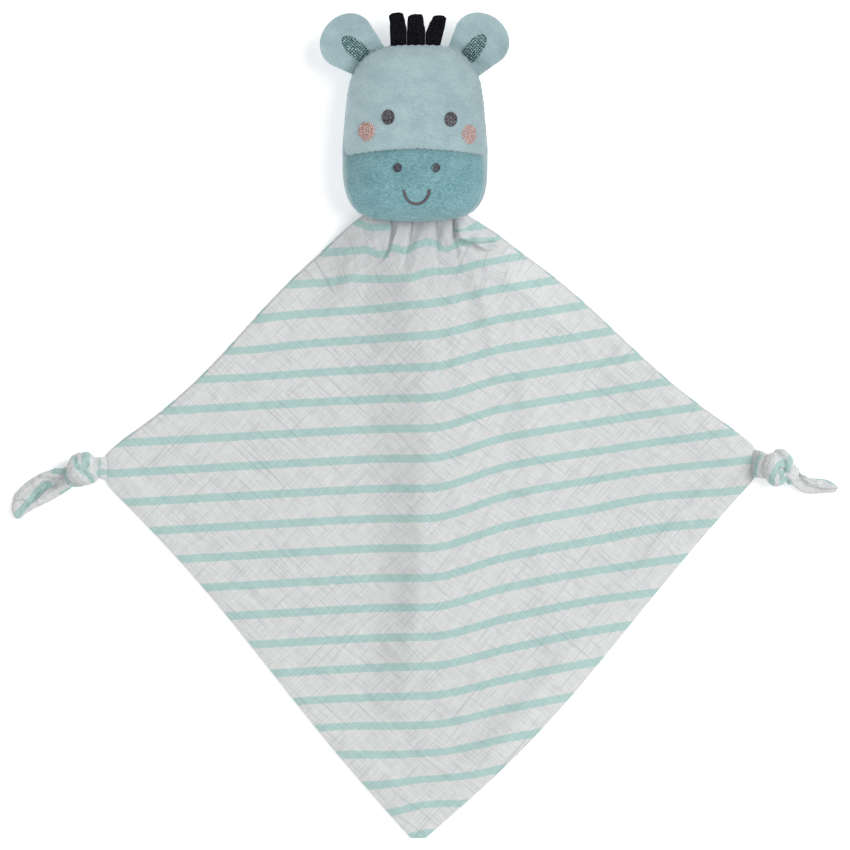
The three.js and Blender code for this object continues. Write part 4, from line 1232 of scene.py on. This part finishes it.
def speckled_oval(middle, half_width, half_height, count, radius, rise, seed):
    """Short stitches in every direction, spread like the seeds of a sunflower, with gaps between."""
    draw = random.Random(seed)
    parts = []
    for index in range(count):
        reach = math.sqrt((index + 0.5) / count)
        turn = index * GOLDEN_TURN
        x = middle[0] + half_width * reach * math.cos(turn)
        y = middle[1] + half_height * reach * math.sin(turn)
        way, half = draw.uniform(0, math.pi), draw.uniform(0.6, 1.15)
        dx, dy = half * math.cos(way), half * math.sin(way)
        parts.append(stitch((x - dx, y - dy), (x + dx, y + dy), radius, rise))
    return parts


FACE_MARKS = (
    # name, x, y, half width, half height
    ("left_eye", -16.0, 9.1, 3.85, 4.5), ("right_eye", 21.4, 7.8, 3.85, 4.5),
    ("left_nostril", -10.4, -21.2, 2.7, 2.7), ("right_nostril", 12.4, -21.2, 2.7, 2.7),
)
for number, (name, x, y, wide, high) in enumerate(FACE_MARKS):
    parts = filled_oval(
        (x, y), wide - 0.3, high - 0.3, pitch=0.42, radius=0.27, rise=0.35, seed=100 + number)
    thread = grey_thread if name.endswith("eye") else dark_thread
    stitched_piece("stitched_" + name, parts, thread, name, "head")
    border = oval_border((x, y), wide - 0.25, high - 0.25, radius=0.3, rise=0.35, count=18)
    stitched_piece(name + "_border_stitches", border, smile_thread, None, "head")
CHEEK_MARKS = (
    # name, x, y, half width, half height, count and rise of the pale stitches
    ("left_cheek", -28.8, 0.5, 4.9, 5.9, 80, 0.26), ("right_cheek", 32.4, -1.1, 4.3, 6.0, 44, 0.04),
)
for number, (name, x, y, wide, high, count, rise) in enumerate(CHEEK_MARKS):
    pale = speckled_oval(
        (x, y), wide - 0.3, high - 0.3, count=count, radius=0.24, rise=rise, seed=300 + number)
    stitched_piece(name + "_pale_stitches", pale, pale_pink_thread, None, "head")
    parts = speckled_oval((x, y), wide, high, count=52, radius=0.26, rise=0.4, seed=200 + number)
    stitched_piece("stitched_" + name, parts, pink_thread, name, "head")
print("stitched the eyes, nostrils and cheeks")

# %% Smile
SMILE_X, SMILE_Y, SMILE_HALF, SMILE_DEPTH = 1.0, -34.1, 7.6, 8.6
STRAND_OFFSET, STRAND_THICKNESS, STRAND_LIFT = 0.52, 0.33, 0.3
BAR_STEPS, BAR_SLANT, BAR_THICKNESS, BAR_LIFT = 44, 0.006, 0.2, 0.42


def smile_place(share, out):
    """A place along the U of the smile, moved out from its middle line."""
    turn = math.pi * (1 + share)
    x = SMILE_X + (SMILE_HALF + out) * np.cos(turn)
    return x, SMILE_Y + (SMILE_DEPTH + out) * np.sin(turn)


def smile_strands():
    """Two dark strands side by side."""
    share = np.linspace(0, 1, 120)
    parts = []
    for side in (-1, 1):
        sway = 0.07 * np.sin(share * 62 + side)
        x, y = smile_place(share, side * STRAND_OFFSET + sway)
        lift = STRAND_LIFT + 0.08 * np.sin(share * 90 + side)
        parts.append(tube(on_face(x, y, lift), STRAND_THICKNESS, 8))
    return parts


def smile_bars():
    """Short lighter stitches that lie across between the strands."""
    parts = []
    for step in range(BAR_STEPS):
        share = (step + 0.5) / BAR_STEPS
        start = smile_place(share - BAR_SLANT, -STRAND_OFFSET)
        end = smile_place(share + BAR_SLANT, STRAND_OFFSET)
        parts.append(stitch(start, end, BAR_THICKNESS, BAR_LIFT))
    return parts


stitched_piece("stitched_smile", smile_strands(), smile_thread, "smile_stitch", "head")
stitched_piece("smile_cross_stitches", smile_bars(), bar_thread, None, "head")
print("stitched the smile")

# %% [markdown]
# ## Ears
#
# Each ear is two round pieces of velboa, sewn and turned, without filling. It cups across and its base
# is caught in the head's side seam, so it is pinched there. The embroidered leaf lies in the cup.

# %% Ear surface
EAR_REACH, EAR_FABRIC, EAR_GAP = 10.5, 1.0, 0.3
# the way each ear points, in degrees, and how far it is moved along the head's rim
EARS = {"left": (139, -14.8), "right": (52, 3.0)}
EAR_HINGE = 1.7
EAR_ROOT = -8.0
EAR_SIDE_FROM = math.radians(100)
# radius of the round part, how much longer it is at the tip, and how much broader at its sides
EAR_RADIUS, EAR_LONGER, EAR_BROADER = 15.8, 2.9, 1.4
EAR_HALF_BASE, EAR_SIDE_SLOPE, EAR_SETBACK = 17.25, 0.31, 22.0
EAR_CUP, EAR_RIM, EAR_VALLEY, EAR_PINCH = 5.2, 0.8, 1.6, 3.4
EAR_PATTERN_SHIFTS = {"left": (90, 40, 0), "right": (90, 0, 0)}


def head_reach(direction):
    turns = np.linspace(0, 2 * math.pi, 721)
    return float(np.max(head_radius(turns) * np.cos(turns - direction)))


def ear_outline(turn):
    """Radius about the ear's middle: round to its widest place, then straight to the head."""
    side, along = np.abs((turn + math.pi) % (2 * math.pi) - math.pi), np.cos(turn)
    round_part = EAR_RADIUS + EAR_LONGER * along - EAR_BROADER * np.cos(2 * side)
    straight = EAR_HALF_BASE / np.maximum(np.sin(side) - EAR_SIDE_SLOPE * along, 0.05)
    base = EAR_SETBACK / np.maximum(-along, 0.05)
    return np.where(side < EAR_SIDE_FROM, round_part, np.minimum(straight, base))


def ear_frame(side):
    aim, slide = EARS[side]
    aim = math.radians(aim)
    away = head_reach(aim) + EAR_HINGE
    out, across = np.array([math.cos(aim), math.sin(aim)]), np.array([-math.sin(aim), math.cos(aim)])
    return away * out + slide * across, out, across


def ear_height(a, b):
    """Height of the ear's middle over the head's middle plane: cupped, pinched at its base."""
    cup = EAR_CUP * (b / 17.5) ** 2 * (0.65 + 0.35 * ease(a / 16))
    rim = EAR_RIM * ease((np.hypot(a - EAR_REACH, b) - 11) / 6)
    valley = EAR_VALLEY * hump(b / 5) * (1 - ease(a / 20))
    return cup + rim - valley - EAR_PINCH * (1 - ease((a + 2) / 7))


def to_row(side, a, b, z):
    origin, out, across = ear_frame(side)
    x = origin[0] + a * out[0] + b * across[0]
    y = origin[1] + a * out[1] + b * across[1] + HEAD_Y
    return np.stack([x, y, z + HEAD_Z], -1)


def round_layer(name, side, outline, reach, least, height, low, high, thin_power):
    """A closed round sheet on an ear's own plane, between two heights over a formula's surface.

    reach is where its middle lies, and least is how near to the head it comes."""
    rings, turns = 26, 120
    share = np.sin(np.linspace(0, math.pi / 2, rings + 1))[1:]
    turn = np.arange(turns) * 2 * math.pi / turns
    radius = share[:, None] * outline(turn)[None, :]
    a, b = reach + radius * np.cos(turn), radius * np.sin(turn)
    a = np.maximum(a, least - 1.5 * (1 - share[:, None]))
    thin = np.sqrt(np.clip(1 - share[:, None] ** thin_power, 0, 1))
    middle = (low + high) / 2
    top = height(a, b) + middle + (high - middle) * thin
    bottom = height(a, b) + middle - (middle - low) * thin
    pole = float(height(np.array(reach), np.array(0.0)))
    count = rings * turns
    points = np.concatenate([
        to_row(side, a, b, top).reshape(-1, 3), to_row(side, a, b, bottom).reshape(-1, 3),
        to_row(side, np.array([reach]), np.array([0.0]), np.array([pole + high])),
        to_row(side, np.array([reach]), np.array([0.0]), np.array([pole + low])),
    ])
    faces = grid_faces(rings, turns, wrap=True)
    faces = [tuple(reversed(face)) for face in faces] + [tuple(count + i for i in face) for face in faces]
    rim = (rings - 1) * turns
    for step in range(turns):
        after = (step + 1) % turns
        faces += [
            (rim + step, count + rim + step, count + rim + after, rim + after),
            (2 * count, step, after), (2 * count + 1, count + after, count + step),
        ]
    obj = mesh_piece(name, points, faces)
    slanting = np.stack([(a + b), (b - a), top], 2).reshape(-1, 3)
    poles = [[reach, -reach, 0]] * 2
    set_place(obj, np.concatenate([slanting, slanting, poles]) + EAR_PATTERN_SHIFTS[side])
    return obj


def bend_at_base(obj):
    """Bakes the piece's place into its points."""
    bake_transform(obj)


def ear_layer(side, part, low, high, node_name):
    """One layer of an ear."""
    name = f"{side}_ear_{part}_layer"
    obj = round_layer(name, side, ear_outline, EAR_REACH, EAR_ROOT, ear_height, low, high, thin_power=14)
    obj.data.materials.append(pale_velboa)
    bend_at_base(obj)
    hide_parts(node_name)


for side in EARS:
    ear_layer(side, "back", -EAR_FABRIC - EAR_GAP / 2, -EAR_GAP / 2, f"{side}_ear_back")
    ear_layer(side, "front", EAR_GAP / 2, EAR_GAP / 2 + EAR_FABRIC, f"{side}_ear_front")
print("made the ears")

# %% Leaf of each ear
LEAF_REACH, LEAF_HALF_LENGTH, LEAF_HALF_WIDTH, LEAF_LEAST = 4.5, 11.2, 5.0, -2.0
LEAF_GROUND_RISE = 0.3
LEAF_ROW_PITCH, LEAF_CROSS_PITCH = 1.3, 1.7


def leaf_outline(turn):
    return 1 / np.hypot(np.cos(turn) / LEAF_HALF_LENGTH, np.sin(turn) / LEAF_HALF_WIDTH)


def leaf_height(a, b):
    return ear_height(a, b) + EAR_GAP / 2 + EAR_FABRIC


def leaf_threads(side):
    """Light chains of short stitches along and across the leaf, like a net."""
    draw = random.Random(31 if side == "left" else 32)

    def surface(a, b, lift):
        return to_row(side, a, b, leaf_height(a, b) + LEAF_GROUND_RISE + np.asarray(lift))

    parts = []
    for row in np.arange(-LEAF_HALF_WIDTH + 0.6, LEAF_HALF_WIDTH - 0.3, LEAF_ROW_PITCH):
        half = (LEAF_HALF_LENGTH - 0.5) * math.sqrt(max(0, 1 - (row / LEAF_HALF_WIDTH) ** 2))
        a = max(LEAF_REACH - half, LEAF_LEAST)
        while a < LEAF_REACH + half - 0.4:
            end = min(a + draw.uniform(0.9, 1.7), LEAF_REACH + half)
            parts.append(stitch((a, row), (end, row + draw.uniform(-0.12, 0.12)), 0.27, 0.3, surface))
            a = end + draw.uniform(0.0, 0.25)
    for a in np.arange(LEAF_LEAST + 0.4, LEAF_REACH + LEAF_HALF_LENGTH - 0.5, LEAF_CROSS_PITCH):
        half = (LEAF_HALF_WIDTH - 0.3) * math.sqrt(max(0, 1 - ((a - LEAF_REACH) / LEAF_HALF_LENGTH) ** 2))
        b = -half
        while b < half - 0.4:
            end = min(b + draw.uniform(0.8, 1.4), half)
            parts.append(stitch((a, b), (a + draw.uniform(-0.12, 0.12), end), 0.24, 0.42, surface))
            b = end + draw.uniform(0.2, 0.9)
    return parts


for side in EARS:
    name = f"{side}_ear_leaf_ground"
    ground = round_layer(
        name, side, leaf_outline, LEAF_REACH, LEAF_LEAST, leaf_height, low=0.05, high=0.4, thin_power=6)
    ground.data.materials.append(leaf_ground)
    bend_at_base(ground)
    parts = leaf_threads(side)
    leaf = stitched_piece(f"{side}_ear_leaf", parts, leaf_thread, f"{side}_ear_patch", None)
    bend_at_base(leaf)
print("stitched the leaves")

# %% [markdown]
# ## Mane
#
# Three cut tabs of black fleece stand in the top seam. They are flat with slightly uneven edges, and
# their corners are a little round.

# %% Mane tabs
TUFT_SUNK, TUFT_THICKNESS, TUFT_EDGE_WOBBLE = 1.6, 2.5, 0.25
TUFTS = {
    # left edge and right edge at the base, at the notch and at the top, then the share at the notch, the
    # length and how far the top's left and right corners hang back
    "left": ((-14.7, -15.1, -15.6), (-4.93, -4.98, -6.85), 0.55, 18.4, 1.4, 0.3),
    "middle": ((-4.87, -4.92, -4.1), (6.0, 6.2, 4.45), 0.5, 17.5, 1.2, 0.2),
    "right": ((6.06, 6.26, 10.6), (15.1, 17.0, 18.7), 0.46, 16.9, 0.8, 1.3),
}


def mane_tab(name, left_edge, right_edge, notch, length, left_drop, right_drop, seed):
    low, high = box_mm("mane_tuft_" + name)
    columns, rows = 21, 41
    across = np.linspace(-1, 1, columns)[None, :]
    along = np.linspace(0, 1, rows)[:, None]
    left, right = (np.interp(along, (0, notch, 1), edge) for edge in (left_edge, right_edge))
    free = ease((along - notch) / 0.2)
    wobble = TUFT_EDGE_WOBBLE * free
    left = left + wobble * value_noise(along * 19, 0 * along, 2.2, seed)
    right = right + wobble * value_noise(along * 19, 9 + 0 * along, 2.2, seed)
    x = (left + right) / 2 + (right - left) / 2 * across
    drop = left_drop * ease(-across) ** 2 + right_drop * ease(across) ** 2 + 0.6 * np.abs(across) ** 12
    uneven = 0.2 * value_noise(across * 6 + 0 * along, along * 2, 2, seed + 1) * along
    y = low[1] - TUFT_SUNK + (length + TUFT_SUNK - drop) * along + uneven
    edge = np.minimum(1 - np.abs(across), 1.6 * (1 - along) + 0 * across)
    thick = TUFT_THICKNESS / 2 * (0.35 + 0.65 * rounded(edge / 0.35))
    bend = 0.5 * np.sin(math.pi * along) + 0.25 * value_noise(across * 5, along * 18, 5, seed + 2)
    z = (low[2] + high[2]) / 2 + bend
    points = both_grids(x, y, z + thick, z - thick)
    obj = mesh_piece("mane_tab_" + name, points, closed_sheet(rows, columns))
    set_place(obj, points)
    obj.data.materials.append(black_fleece)
    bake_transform(obj)
    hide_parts("mane_tuft_" + name)


for number, (name, sizes) in enumerate(TUFTS.items()):
    mane_tab(name, *sizes, 60 + 5 * number)
print("made the mane")

# %% [markdown]
# ## Corner knots
#
# Each side corner of the square is twisted to a strip and tied in an overhand knot. The soft strip
# swells between its turns, so a knot of cloth is a ball of fat rolls with creases between them. Each
# roll is swept along its own route here, wide and bent round the ball. Then all rolls of a knot are
# remeshed to one skin, and a little smoothing melts the places where they press together.

# %% Knot places
KNOT_MIDDLES = {"left": (-199.4, -3.6), "right": (218.6, -2.9)}
KNOT_NODES = {"left": "left_corner_knot", "right": "right_corner_knot"}
ROLLS = {
    # closed or open, then places from the knot's middle: x, y, z, half width
    "left": (
        (True, ((-4.6, 6.6, 8.5, 2.2), (-6.5, 2.6, 12.6, 3), (-6.5, -2.8, 15, 5.4), (-2, -5.8, 13.2, 5),
                (3.2, -7.6, 9, 3), (3, -5, 3.6, 2.6), (-1, 0, 2.2, 3), (-3.6, 5, 3.8, 2.2))),
        (True, ((3.4, 7.9, 8.2, 5.2), (4, 5.4, 12.4, 5.8), (5.4, 0.6, 13.4, 5.6), (7.4, -4, 9.8, 4),
                (6.2, -6.4, 5.5, 3), (3.6, -3, 2.4, 3.4), (2.4, 4, 2.4, 4))),
        (False, ((-9, 1, 7, 2.4), (-9.4, -4, 7.6, 2.6), (-7, -8, 7, 2.6), (-2, -8.6, 6, 2.4),
                 (2.5, -7, 4, 2.4))),
        (False, ((-2, 8.2, 8, 3), (-1.8, 5.6, 12.2, 3.2), (-0.9, 2, 14.2, 3), (1.2, -1.2, 14.2, 2.6))),
    ),
    "right": (
        (True, ((0, 8.0, 8.5, 3), (-5, 6, 13, 5.6), (-6.8, -0.4, 14.8, 6.4), (-5.4, -6, 12.6, 5.4),
                (-1.9, -9.2, 8, 3.7), (1.5, -5, 3, 3.5), (3, 2, 2.6, 4), (2.5, 6.5, 4.5, 3.2))),
        (False, ((-2, 9, 9, 2.6), (1.5, 9.3, 11.5, 2.8), (4.6, 6.9, 13, 3), (6.2, 3, 13.2, 3),
                 (5.6, -1, 11.8, 2.8), (3, -3, 9, 2.6))),
        (False, ((2.5, -1.5, 7, 2), (1.8, -5, 9.5, 2.2), (1.6, -9, 7.5, 2))),
        (False, ((-0.8, 7, 12.6, 3), (0.4, 3.6, 13.6, 3), (1, 0.4, 13, 2.6))),
        (False, ((3, -2, 8, 4), (4.5, -3.6, 10.2, 5.4), (7.6, -4.2, 9, 6.6), (10, -5.4, 7, 6.2))),
    ),
}
CORES = {
    # middle, radii
    "left": ((0, -0.4, 8.6), (7.2, 7.8, 6.2)), "right": ((-0.5, -0.5, 8.2), (8.5, 8, 6)),
}
DIVES = {
    # where a turn dives under the next one: x, y, radius, depth
    "left": (2.2, 3.0, 1.7, 1.8), "right": (2.5, -1.3, 1.0, 1.6),
}
COLLARS = {
    "left": ((14.6, 0.5, 2.4, 7.2), (13.2, 0.5, 2.8, 6.9), (11, 1.2, 3.6, 6.2), (8, 1.6, 5, 5.5),
             (4, 1, 7, 4.5)),
    "right": ((-14.3, 2.6, 0.4, 8.3), (-14, 2.6, 4, 8.3), (-13.2, 2.4, 7, 8.2), (-12, 2, 8.8, 8),
              (-10.2, 1.2, 9.7, 7.7), (-8.4, 0.6, 10.2, 7.2), (-5, 0.5, 10.8, 5)),
}
TAILS = {
    # upper edge and lower edge from the knot to the tip
    "left": (
        ((-7.6, 2.4), (-11.2, 0.8), (-15.6, 0.9), (-17.4, 0.2), (-22.6, -1.6), (-27.1, -3.6), (-33.5, -7.8),
         (-40.4, -14.7), (-42.2, -20.2), (-42.7, -23.9), (-41.5, -28), (-39.5, -29.9)),
        ((-4, -7.8), (-5.9, -10.6), (-10.1, -13.8), (-16.6, -17.9), (-22, -20.6), (-29.8, -24.4),
         (-34, -27), (-36.7, -29.4), (-39.5, -29.9)),
    ),
    "right": (
        ((8.2, 2.3), (11.2, -0.7), (13, -3.1), (17.8, -5.9), (22.6, -6.3), (28, -7), (32.8, -9.2),
         (34.9, -10.9), (35.3, -12.4)),
        ((4, -6.7), (5.8, -9.2), (9.4, -11.5), (12.4, -13.9), (16.6, -15.4), (22, -15.4), (31, -14.8),
         (34, -14.3), (35.3, -12.4)),
    ),
}
print("rolls:", {side: len(rolls) for side, rolls in ROLLS.items()})

# %% Knot rolls
ROLL_DEPTH, ROLL_BEND = 2.1, 9.0
COLLAR_DEPTHS = {"left": 1.3, "right": 2.0}
SECTION_SIDES, SECTION_POWER = 24, 2.6
ROUTE_STEPS = 110


def smooth_route(points, count, closed):
    """Points at even steps on a smooth curve through the given ones, in any number of columns."""
    points = np.asarray(points, float)
    if closed:
        ring = np.concatenate([points[-1:], points, points[:2]])
    else:
        ring = np.concatenate([[2 * points[0] - points[1]], points, [2 * points[-1] - points[-2]]])
    steps = np.linspace(0, 1, 24, endpoint=False)[:, None]
    fine = []
    for before, start, end, after in zip(ring, ring[1:], ring[2:], ring[3:]):
        bend = 2 * before - 5 * start + 4 * end - after
        turn = 3 * start - before - 3 * end + after
        fine.append(start + 0.5 * steps * (end - before + steps * (bend + steps * turn)))
    fine = np.concatenate(fine + [ring[-2:-1]])
    length = np.concatenate([[0], np.cumsum(np.linalg.norm(np.diff(fine[:, :3], axis=0), axis=1))])
    even = np.linspace(0, length[-1], count, endpoint=not closed)
    return np.stack([np.interp(even, length, column) for column in fine.T], 1)


def section():
    """A rounded box section from -1 to 1 both ways."""
    turn = np.arange(SECTION_SIDES) * 2 * math.pi / SECTION_SIDES
    across, up = np.cos(turn), np.sin(turn)
    size = (np.abs(across) ** SECTION_POWER + np.abs(up) ** SECTION_POWER) ** (-1 / SECTION_POWER)
    return across * size, up * size


def roll_mesh(places, closed, facing, depth, bend):
    """A soft roll along a route. facing gives the way its broad side looks, and it bends away from that."""
    route = smooth_route(places, ROUTE_STEPS, closed)
    middle, half = route[:, :3], route[:, 3]
    ahead = np.roll(middle, -1, 0) - np.roll(middle, 1, 0) if closed else np.gradient(middle, axis=0)
    ahead /= np.linalg.norm(ahead, axis=1)[:, None]
    outward = facing(middle)
    outward = outward - ahead * (outward * ahead).sum(1)[:, None]
    outward /= np.linalg.norm(outward, axis=1)[:, None]
    wide = np.cross(ahead, outward)
    across, up = section()
    arc = half[:, None] * across[None, :] / bend
    lateral, height = bend * np.sin(arc), depth * up[None, :] + bend * (np.cos(arc) - 1)
    points = middle[:, None] + wide[:, None] * lateral[..., None] + outward[:, None] * height[..., None]
    faces = grid_faces(ROUTE_STEPS, SECTION_SIDES, wrap=True)
    last = (ROUTE_STEPS - 1) * SECTION_SIDES
    for side in range(SECTION_SIDES if closed else 0):
        after = (side + 1) % SECTION_SIDES
        faces.append((last + side, last + after, after, side))
    if not closed:
        faces.append(tuple(reversed(range(SECTION_SIDES))))
        faces.append(tuple(range(last, last + SECTION_SIDES)))
    return points.reshape(-1, 3), faces


def ball_mesh(middle, radii):
    """A closed ellipsoid: the hidden inside of a knot."""
    rows, columns = 14, 24
    climb = np.linspace(-math.pi / 2, math.pi / 2, rows + 2)[1:-1, None]
    turn = (np.arange(columns) * 2 * math.pi / columns)[None, :]
    x, y = np.cos(climb) * np.cos(turn), np.cos(climb) * np.sin(turn)
    ball = np.stack([x, y, np.sin(climb) + 0 * turn], 2)
    points = np.concatenate([ball.reshape(-1, 3), [[0, 0, -1], [0, 0, 1]]]) * radii + middle
    faces = grid_faces(rows, columns, wrap=True)
    bottom, top, last = rows * columns, rows * columns + 1, (rows - 1) * columns
    for step in range(columns):
        after = (step + 1) % columns
        faces += [(bottom, after, step), (top, last + step, last + after)]
    return points, faces


print("roll section has", len(section()[0]), "points")

# %% [markdown]
# The tail is the corner of the square that sticks out of the knot: two layers with a rolled edge that
# open to a leaf and end in a point. Its edges stand up in soft rolls, and a hollow lies between.

# %% Knot tails
TAIL_HALF_DEPTH = 0.9
# height along the tail, and how much higher it starts at the knot
TAIL_LEVELS, TAIL_ROOTS = {"left": 3.0, "right": 1.3}, {"left": 5.0, "right": 6.5}
TAIL_ROWS, TAIL_COLUMNS = 90, 41


def tail_height(side, share, across):
    """Height of the tail's middle. share runs from the knot to the tip, across from upper to lower edge."""
    ground = TAIL_LEVELS[side] + TAIL_ROOTS[side] * (1 - share) ** 2.2
    fade = ease((1 - share) / 0.45)
    if side == "left":
        rolls = 2.4 * hump((across - 0.2) / 0.16) + 1.8 * hump((across - 0.8) / 0.16)
        return ground + fade * rolls
    line = np.interp(share, (0.1, 0.25, 0.4, 0.7, 0.95), (0.0, 0.2, 0.45, 0.68, 0.5))
    lobe = 2.6 * ease((line - across) / 0.08 + 0.5) * ease((1.02 - share) / 0.2) * ease((share - 0.12) / 0.2)
    edge = 0.9 * hump((across - 0.88) / 0.12) * fade
    return ground + lobe + edge


TAIL_CREASES = {
    # half width, depth, then the line from the knot's middle
    "left": (
        (0.7, 1.5, ((-27.6, -4.6), (-21.2, -5.5), (-15.6, -6.7), (-11.5, -5.0))),
        (0.6, 1.2, ((-17.9, -1.8), (-14.7, -3.2), (-11.5, -3.2))),
        (0.6, 1.2, ((-40.9, -19.3), (-35.4, -18.8))),
        (2.2, 3.2, ((-17.4, -8.8), (-22.1, -9.7), (-25.7, -12.4), (-29.4, -16.1))),
    ),
    "right": (
        (0.7, 1.3, ((10.1, -4.7), (14.3, -5.1), (15.6, -8.5), (18.5, -10.6), (22.7, -11.0))),
    ),
}


def line_distance(x, y, line):
    """Distance from a line of places."""
    nearest = np.full(np.shape(x), 1000.0)
    for (x0, y0), (x1, y1) in zip(line, line[1:]):
        long = math.hypot(x1 - x0, y1 - y0)
        share = np.clip(((x - x0) * (x1 - x0) + (y - y0) * (y1 - y0)) / long ** 2, 0, 1)
        nearest = np.minimum(nearest, np.hypot(x - x0 - share * (x1 - x0), y - y0 - share * (y1 - y0)))
    return nearest


def tail_mesh(side):
    share = np.linspace(0, 1, TAIL_ROWS)
    upper, lower = (smooth_route(edge, TAIL_ROWS, False) for edge in TAILS[side])
    across = np.linspace(0, 1, TAIL_COLUMNS)[None, :]
    x = upper[:, :1] * (1 - across) + lower[:, :1] * across
    y = upper[:, 1:] * (1 - across) + lower[:, 1:] * across
    height = tail_height(side, share[:, None], across)
    height = height + 0.25 * value_noise(x * 0.5, y, 2.6, 41) + 0.2 * value_noise(x, y * 0.6, 2.2, 42)
    for half, depth, line in TAIL_CREASES[side]:
        height = height - depth * hump(line_distance(x, y, line) / half)
    inside = np.minimum(across, 1 - across) * np.linalg.norm(upper - lower, axis=1)[:, None]
    thick = TAIL_HALF_DEPTH * (0.35 + 0.65 * rounded(inside / 1.2))
    height = np.maximum(height, thick + 0.2)
    bottom = height - thick - (height - thick - 0.2) * ease(inside / 2.5)
    return both_grids(x, y, height + thick, bottom), closed_sheet(TAIL_ROWS, TAIL_COLUMNS)


print("tail lengths:", {side: round(abs(edges[0][-1][0]), 1) for side, edges in TAILS.items()})

# %% [markdown]
# The printed stripes go round and round in a knot, so on its skin they are short bands. Each band is
# given by a line as seen from above, and a point of the skin keeps how far it is from the nearest one.

# %% Knot stripes
BANDS = {
    # half width, then the band's line from the knot's middle
    "left": (
        (1.75, ((-4.6, 6), (-3.2, 1.4), (1, -1.4), (4.6, -4.1), (5.5, -6.9))),
        (2.3, ((2.3, 9.6), (1.9, 1.8))), (0.9, ((-10.6, -4.1), (-8.2, -8.8), (-3.7, -10.6))),
        (0.5, ((10.1, 6), (9.7, -4.2))), (1.6, ((9.7, -2.4), (14.6, -1.8))),
        (1.7, ((-17.6, -0.9), (-10.8, -1.6))), (0.8, ((-6.4, -10.6), (-13.3, -14.7))),
        (2.2, ((-20.2, -9.6), (-23.9, -10.6), (-27.5, -15.2), (-32.6, -20.2), (-39, -27.6))),
    ),
    "right": (
        (1.9, ((2.5, 3.4), (-0.8, 1.3), (-3.4, -2.5), (-5, -6.7), (-4.6, -9.7))),
        (1.5, ((1.3, -2.9), (1.3, -9.2))), (2.0, ((6.9, 6.2), (5.6, 2.5), (4.4, -1.2))),
        (1.4, ((3.4, -6.7), (6.7, -9.7))), (0.8, ((16, -5), (26.9, -6.7), (32.4, -9.7))),
        (1.2, ((-11, 7.1), (-13.5, 5), (-14.3, -0.9), (-14.8, -5.1))),
    ),
}


def band_distance(side, x, y):
    """Distance from the nearest band, scaled so that the band's edge lies at the stripe's half width."""
    nearest = np.full(len(x), STRIPE_PITCH / 2 - 1)
    for half, line in BANDS[side]:
        nearest = np.minimum(nearest, line_distance(x, y, line) * STRIPE_HALF / half)
    return nearest


print("bands:", {side: len(bands) for side, bands in BANDS.items()})

# %% Knots
KNOT_VOXEL, KNOT_SMOOTHING = 0.38, 3
KNOT_FLOOR = 0.1
# the knots' pattern is taken from another part of the noise, and no hem is near them
KNOT_PATTERN_SHIFT, FAR_FROM_RIM = (0, 0, 30), 100.0


def press_together(obj, voxel, rounds):
    """Remeshes overlapping rolls to one skin, and smooths it a little."""
    remesh = obj.modifiers.new("press", "REMESH")
    remesh.mode = "VOXEL"
    remesh.voxel_size = voxel * MM
    relax = obj.modifiers.new("relax", "SMOOTH")
    relax.factor, relax.iterations = 0.5, rounds
    mesh = bpy.data.meshes.new_from_object(obj.evaluated_get(bpy.context.evaluated_depsgraph_get()))
    obj.modifiers.clear()
    obj.data = mesh
    mesh.shade_smooth()


def knot_piece(side):
    core_middle, core_radii = CORES[side]

    def from_core(middle):
        return middle - np.array(core_middle)

    def upward(middle):
        return np.broadcast_to([0.0, 0.0, 1.0], middle.shape)

    parts = [roll_mesh(places, closed, from_core, ROLL_DEPTH, ROLL_BEND) for closed, places in ROLLS[side]]
    parts.append(ball_mesh(core_middle, core_radii))
    parts.append(roll_mesh(COLLARS[side], False, upward, COLLAR_DEPTHS[side], 3 * ROLL_BEND))
    parts.append(tail_mesh(side))
    points, faces = joined(parts)
    points[:, 2] = np.maximum(points[:, 2], KNOT_FLOOR)
    obj = mesh_piece("knot_" + side, points, faces)
    press_together(obj, KNOT_VOXEL, KNOT_SMOOTHING)
    local = np.array([vert.co for vert in obj.data.vertices]) / MM
    x, y, z = local.T
    puckered = 0.18 * value_noise(x + z, y - 0.5 * z, 1.7, 51) + 0.15 * value_noise(x - z, y + z, 2.9, 52)
    normals = np.array([vert.normal for vert in obj.data.vertices])
    shown = local + normals * puckered[:, None]
    dive_x, dive_y, dive_radius, dive_depth = DIVES[side]
    dive = hump(np.hypot(x - dive_x, y - dive_y) / dive_radius)
    shown[:, 2] -= dive_depth * dive * ease((z - 8) / 4)
    shown[:, 2] = np.maximum(shown[:, 2], KNOT_FLOOR)
    set_place(obj, local + KNOT_PATTERN_SHIFT)
    set_number(obj, "stripe", band_distance(side, x, y))
    set_number(obj, "rim", np.full(len(local), FAR_FROM_RIM))
    shown[:, :2] += KNOT_MIDDLES[side]
    obj.data.vertices.foreach_set("co", (shown * MM).ravel())
    obj.data.update()
    obj.data.materials.append(knot_muslin)
    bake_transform(obj)
    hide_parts(KNOT_NODES[side])
    return obj


knot_muslin = muslin_material("knotted muslin", crinkle=1.2)
for side in KNOT_MIDDLES:
    piece = knot_piece(side)
    print("made", piece.name, len(piece.data.vertices), "points")
